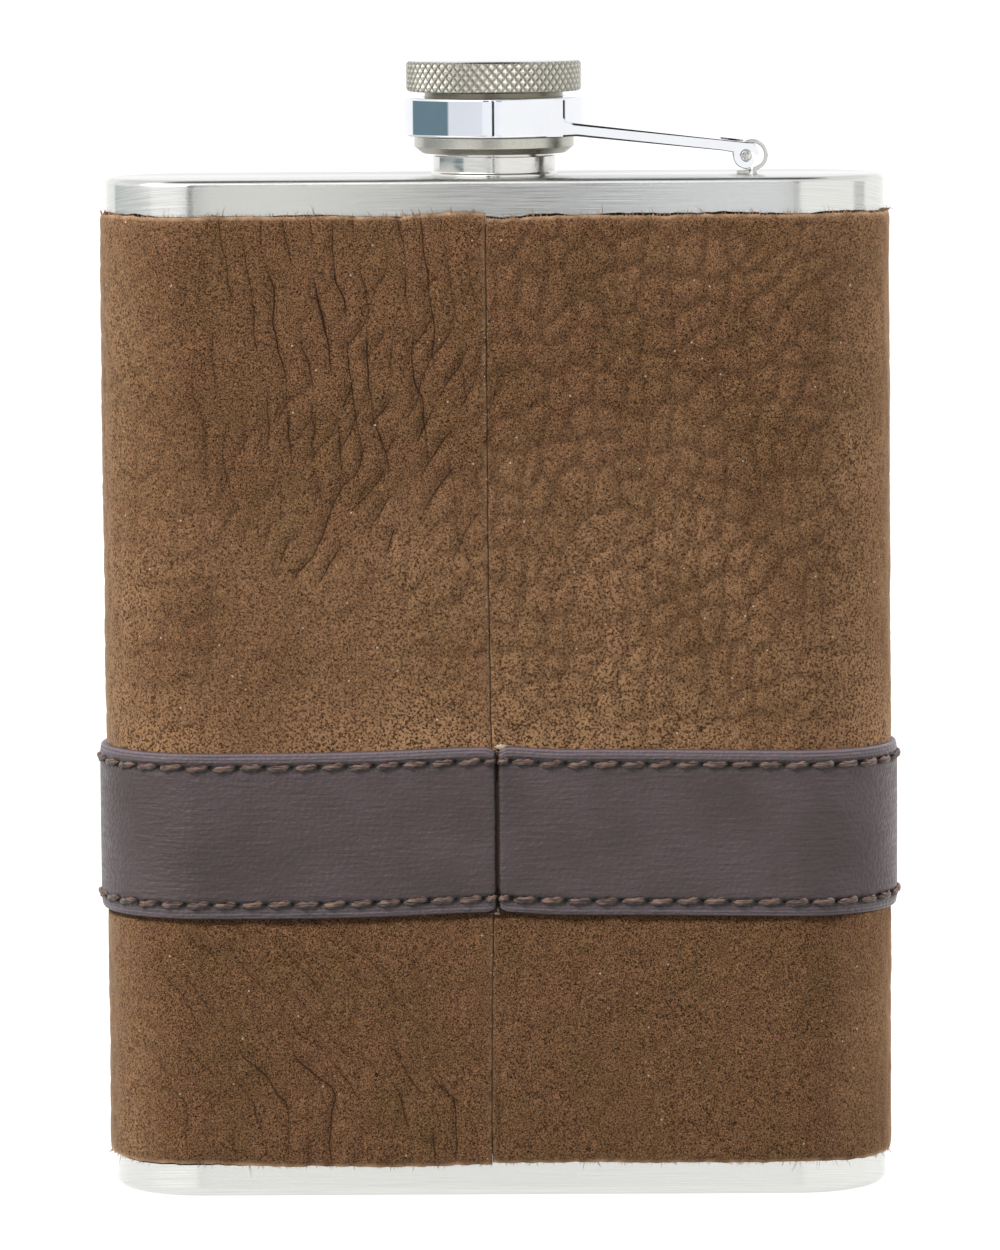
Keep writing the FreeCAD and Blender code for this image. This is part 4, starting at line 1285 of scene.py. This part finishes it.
lamp_stands = add(tree, "ValToRGB", {0: turn},
                  stops=[(degrees / 360 + 0.5, code) for degrees, code in stand_edges])
stand_top = add(tree, "MapRange", {"Value": parts.outputs[2], "From Min": 0.45, "From Max": 0.55})
upper = add(tree, "Mix", {0: stand_top, 6: lamp_stands, 7: "#efeff2"}, data_type="RGBA")
walls = add(tree, "Mix", {0: outside, 6: panels, 7: upper}, data_type="RGBA")
overhead = add(tree, "MapRange", {"Value": parts.outputs[2], "From Min": 0.9, "From Max": 0.94})
ceiling = add(tree, "Mix", {0: overhead, 6: walls, 7: "#2a2a2c"}, data_type="RGBA")
ray = add(tree, "LightPath")
backdrop = add(tree, "Mix", {0: ray.outputs["Is Camera Ray"], 6: ceiling, 7: "#ffffff"}, data_type="RGBA")
# A soft box high on the left shows in the knurl's crests and along rounded edges.
box_height = add(tree, "Math", {0: parts.outputs[2], 1: 0.52}, operation="SUBTRACT")
box_up = add(tree, "Math", {0: box_height}, operation="ABSOLUTE")
box_rows = add(tree, "MapRange", {"Value": box_up, "From Min": 0.2, "From Max": 0.26, "To Min": 1.9,
                                  "To Max": 0.0})
box_turn = add(tree, "Math", {0: bearing, 1: math.radians(-38)}, operation="SUBTRACT")
box_side = add(tree, "Math", {0: box_turn}, operation="ABSOLUTE")
box_columns = add(tree, "MapRange", {"Value": box_side, "From Min": math.radians(36),
                                     "From Max": math.radians(42), "To Min": 1.0, "To Max": 0.0})
seen = add(tree, "Math", {0: ray.outputs["Is Camera Ray"], 1: 0.85, 2: 0.3}, operation="MULTIPLY_ADD")
mirrored = add(tree, "Math", {0: ray.outputs["Is Glossy Ray"], 1: 0.82, 2: seen}, operation="MULTIPLY_ADD")
box_light = add(tree, "Math", {0: box_rows, 1: box_columns}, operation="MULTIPLY")
boxed = add(tree, "Math", {0: box_light, 1: ray.outputs["Is Glossy Ray"], 2: mirrored},
            operation="MULTIPLY_ADD")
wire(surround, {"Color": backdrop, "Strength": boxed})

# A curtain behind the camera, which only mirrors see: it is warm white on the left, black in the middle and
# bluish grey on the right, with soft edges between, and its foot lies forward on the table.
curtain_left, curtain_right, curtain_y, curtain_top = -230.0, 115.0, -975.0, 760.0
curtain_points = np.array([[[x, y, z] for x in (curtain_left, curtain_right)]
                           for y, z in ((-380.0, 1.0), (curtain_y, 1.0), (curtain_y, curtain_top))])
curtain = surface_piece("studio_curtain", curtain_points)
curtain_cloth, tree, shader = start_material("studio_curtain_cloth", {
    "Base Color": "#000000", "Roughness": 0.9, "Emission Strength": 1.4})
place = add(tree, "TexCoord").outputs["Object"]
parts = add(tree, "SeparateXYZ", {0: place})
across_cloth = add(tree, "MapRange", {"Value": parts.outputs[0], "From Min": curtain_left * MM,
                                      "From Max": curtain_right * MM})
cloth_edges = ((-230, "#1e2024"), (-98, "#1e2024"), (-90, "#ffffff"), (-66, "#fdfdf6"), (-46, "#dcdcd9"),
               (-24, "#101215"), (-8, "#050607"), (2, "#0e1013"), (14, "#c4c8d0"), (42, "#f6f8fc"),
               (60, "#f6f8fc"), (67, "#8e9095"), (115, "#a4a6ab"))
dyed = add(tree, "ValToRGB", {0: across_cloth}, stops=[
    ((x - curtain_left) / (curtain_right - curtain_left), code) for x, code in cloth_edges])
wire(shader, {"Emission Color": dyed})
curtain.data.materials.append(curtain_cloth)

# The black stand in front of it, against a white board at the camera's height.
board_points = np.array([[[x, curtain_y + 8, z] for x in (curtain_left, -24.0, 22.0, curtain_right)]
                         for z in (58.0, 130.0)])
stand_board = surface_piece("stand_board", board_points)
board_paint, tree, shader = start_material("white_and_black_board", {
    "Base Color": "#000000", "Roughness": 0.9, "Emission Strength": 1.12})
place = add(tree, "TexCoord").outputs["Object"]
parts = add(tree, "SeparateXYZ", {0: place})
from_stand = add(tree, "Math", {0: parts.outputs[0], 1: 0.001}, operation="ADD")
beside = add(tree, "Math", {0: from_stand}, operation="ABSOLUTE")
bare = add(tree, "MapRange", {"Value": beside, "From Min": 22 * MM, "From Max": 26 * MM})
tint = add(tree, "Mix", {0: bare, 6: "#0b0b0c", 7: "#f4f6fa"}, data_type="RGBA")
wire(shader, {"Emission Color": tint})
stand_board.data.materials.append(board_paint)
for scenery in (curtain, stand_board):
    scenery.visible_camera = scenery.visible_diffuse = scenery.visible_shadow = False

# Three round soft lamps: width in m, watts, bearing and tilt in degrees, and distance in m.
lamps = (("key_lamp", 0.35, 34.0, -42, 40, 1.4), ("back_lamp", 0.5, 24.0, 160, 50, 1.5),
         ("rim_lamp", 0.3, 16.0, 102, 72, 1.2))
for lamp_name, width, watts, lamp_bearing, tilt, distance in lamps:
    bulb = bpy.data.lights.new(lamp_name, "AREA")
    bulb.shape = "DISK"
    bulb.size = width
    bulb.energy = watts
    lamp = bpy.data.objects.new(lamp_name, bulb)
    lamp_turn = (Matrix.Rotation(math.radians(lamp_bearing), 4, "Z")
                 @ Matrix.Rotation(math.radians(tilt), 4, "X"))
    lamp.matrix_world = Matrix.Translation((0, 0, 0.07)) @ lamp_turn @ Matrix.Translation((0, 0, distance))
    lamp.visible_glossy = False
    bpy.context.scene.collection.objects.link(lamp)

camera = bpy.data.cameras.new("camera")
camera.lens = 221.96
camera.sensor_width = 36.0
camera.clip_start = 0.05
camera_stand = bpy.data.objects.new("camera", camera)
camera_stand.matrix_world = (
    Matrix.Translation((0.0148, -0.9433, 0.1656)) @ Matrix.Rotation(math.radians(0.88), 4, "Z")
    @ Matrix.Rotation(math.radians(84.16), 4, "X") @ Matrix.Rotation(math.radians(-0.41), 4, "Z"))
bpy.context.scene.collection.objects.link(camera_stand)
bpy.context.scene.camera = camera_stand
bpy.context.scene.view_settings.view_transform = "Standard"
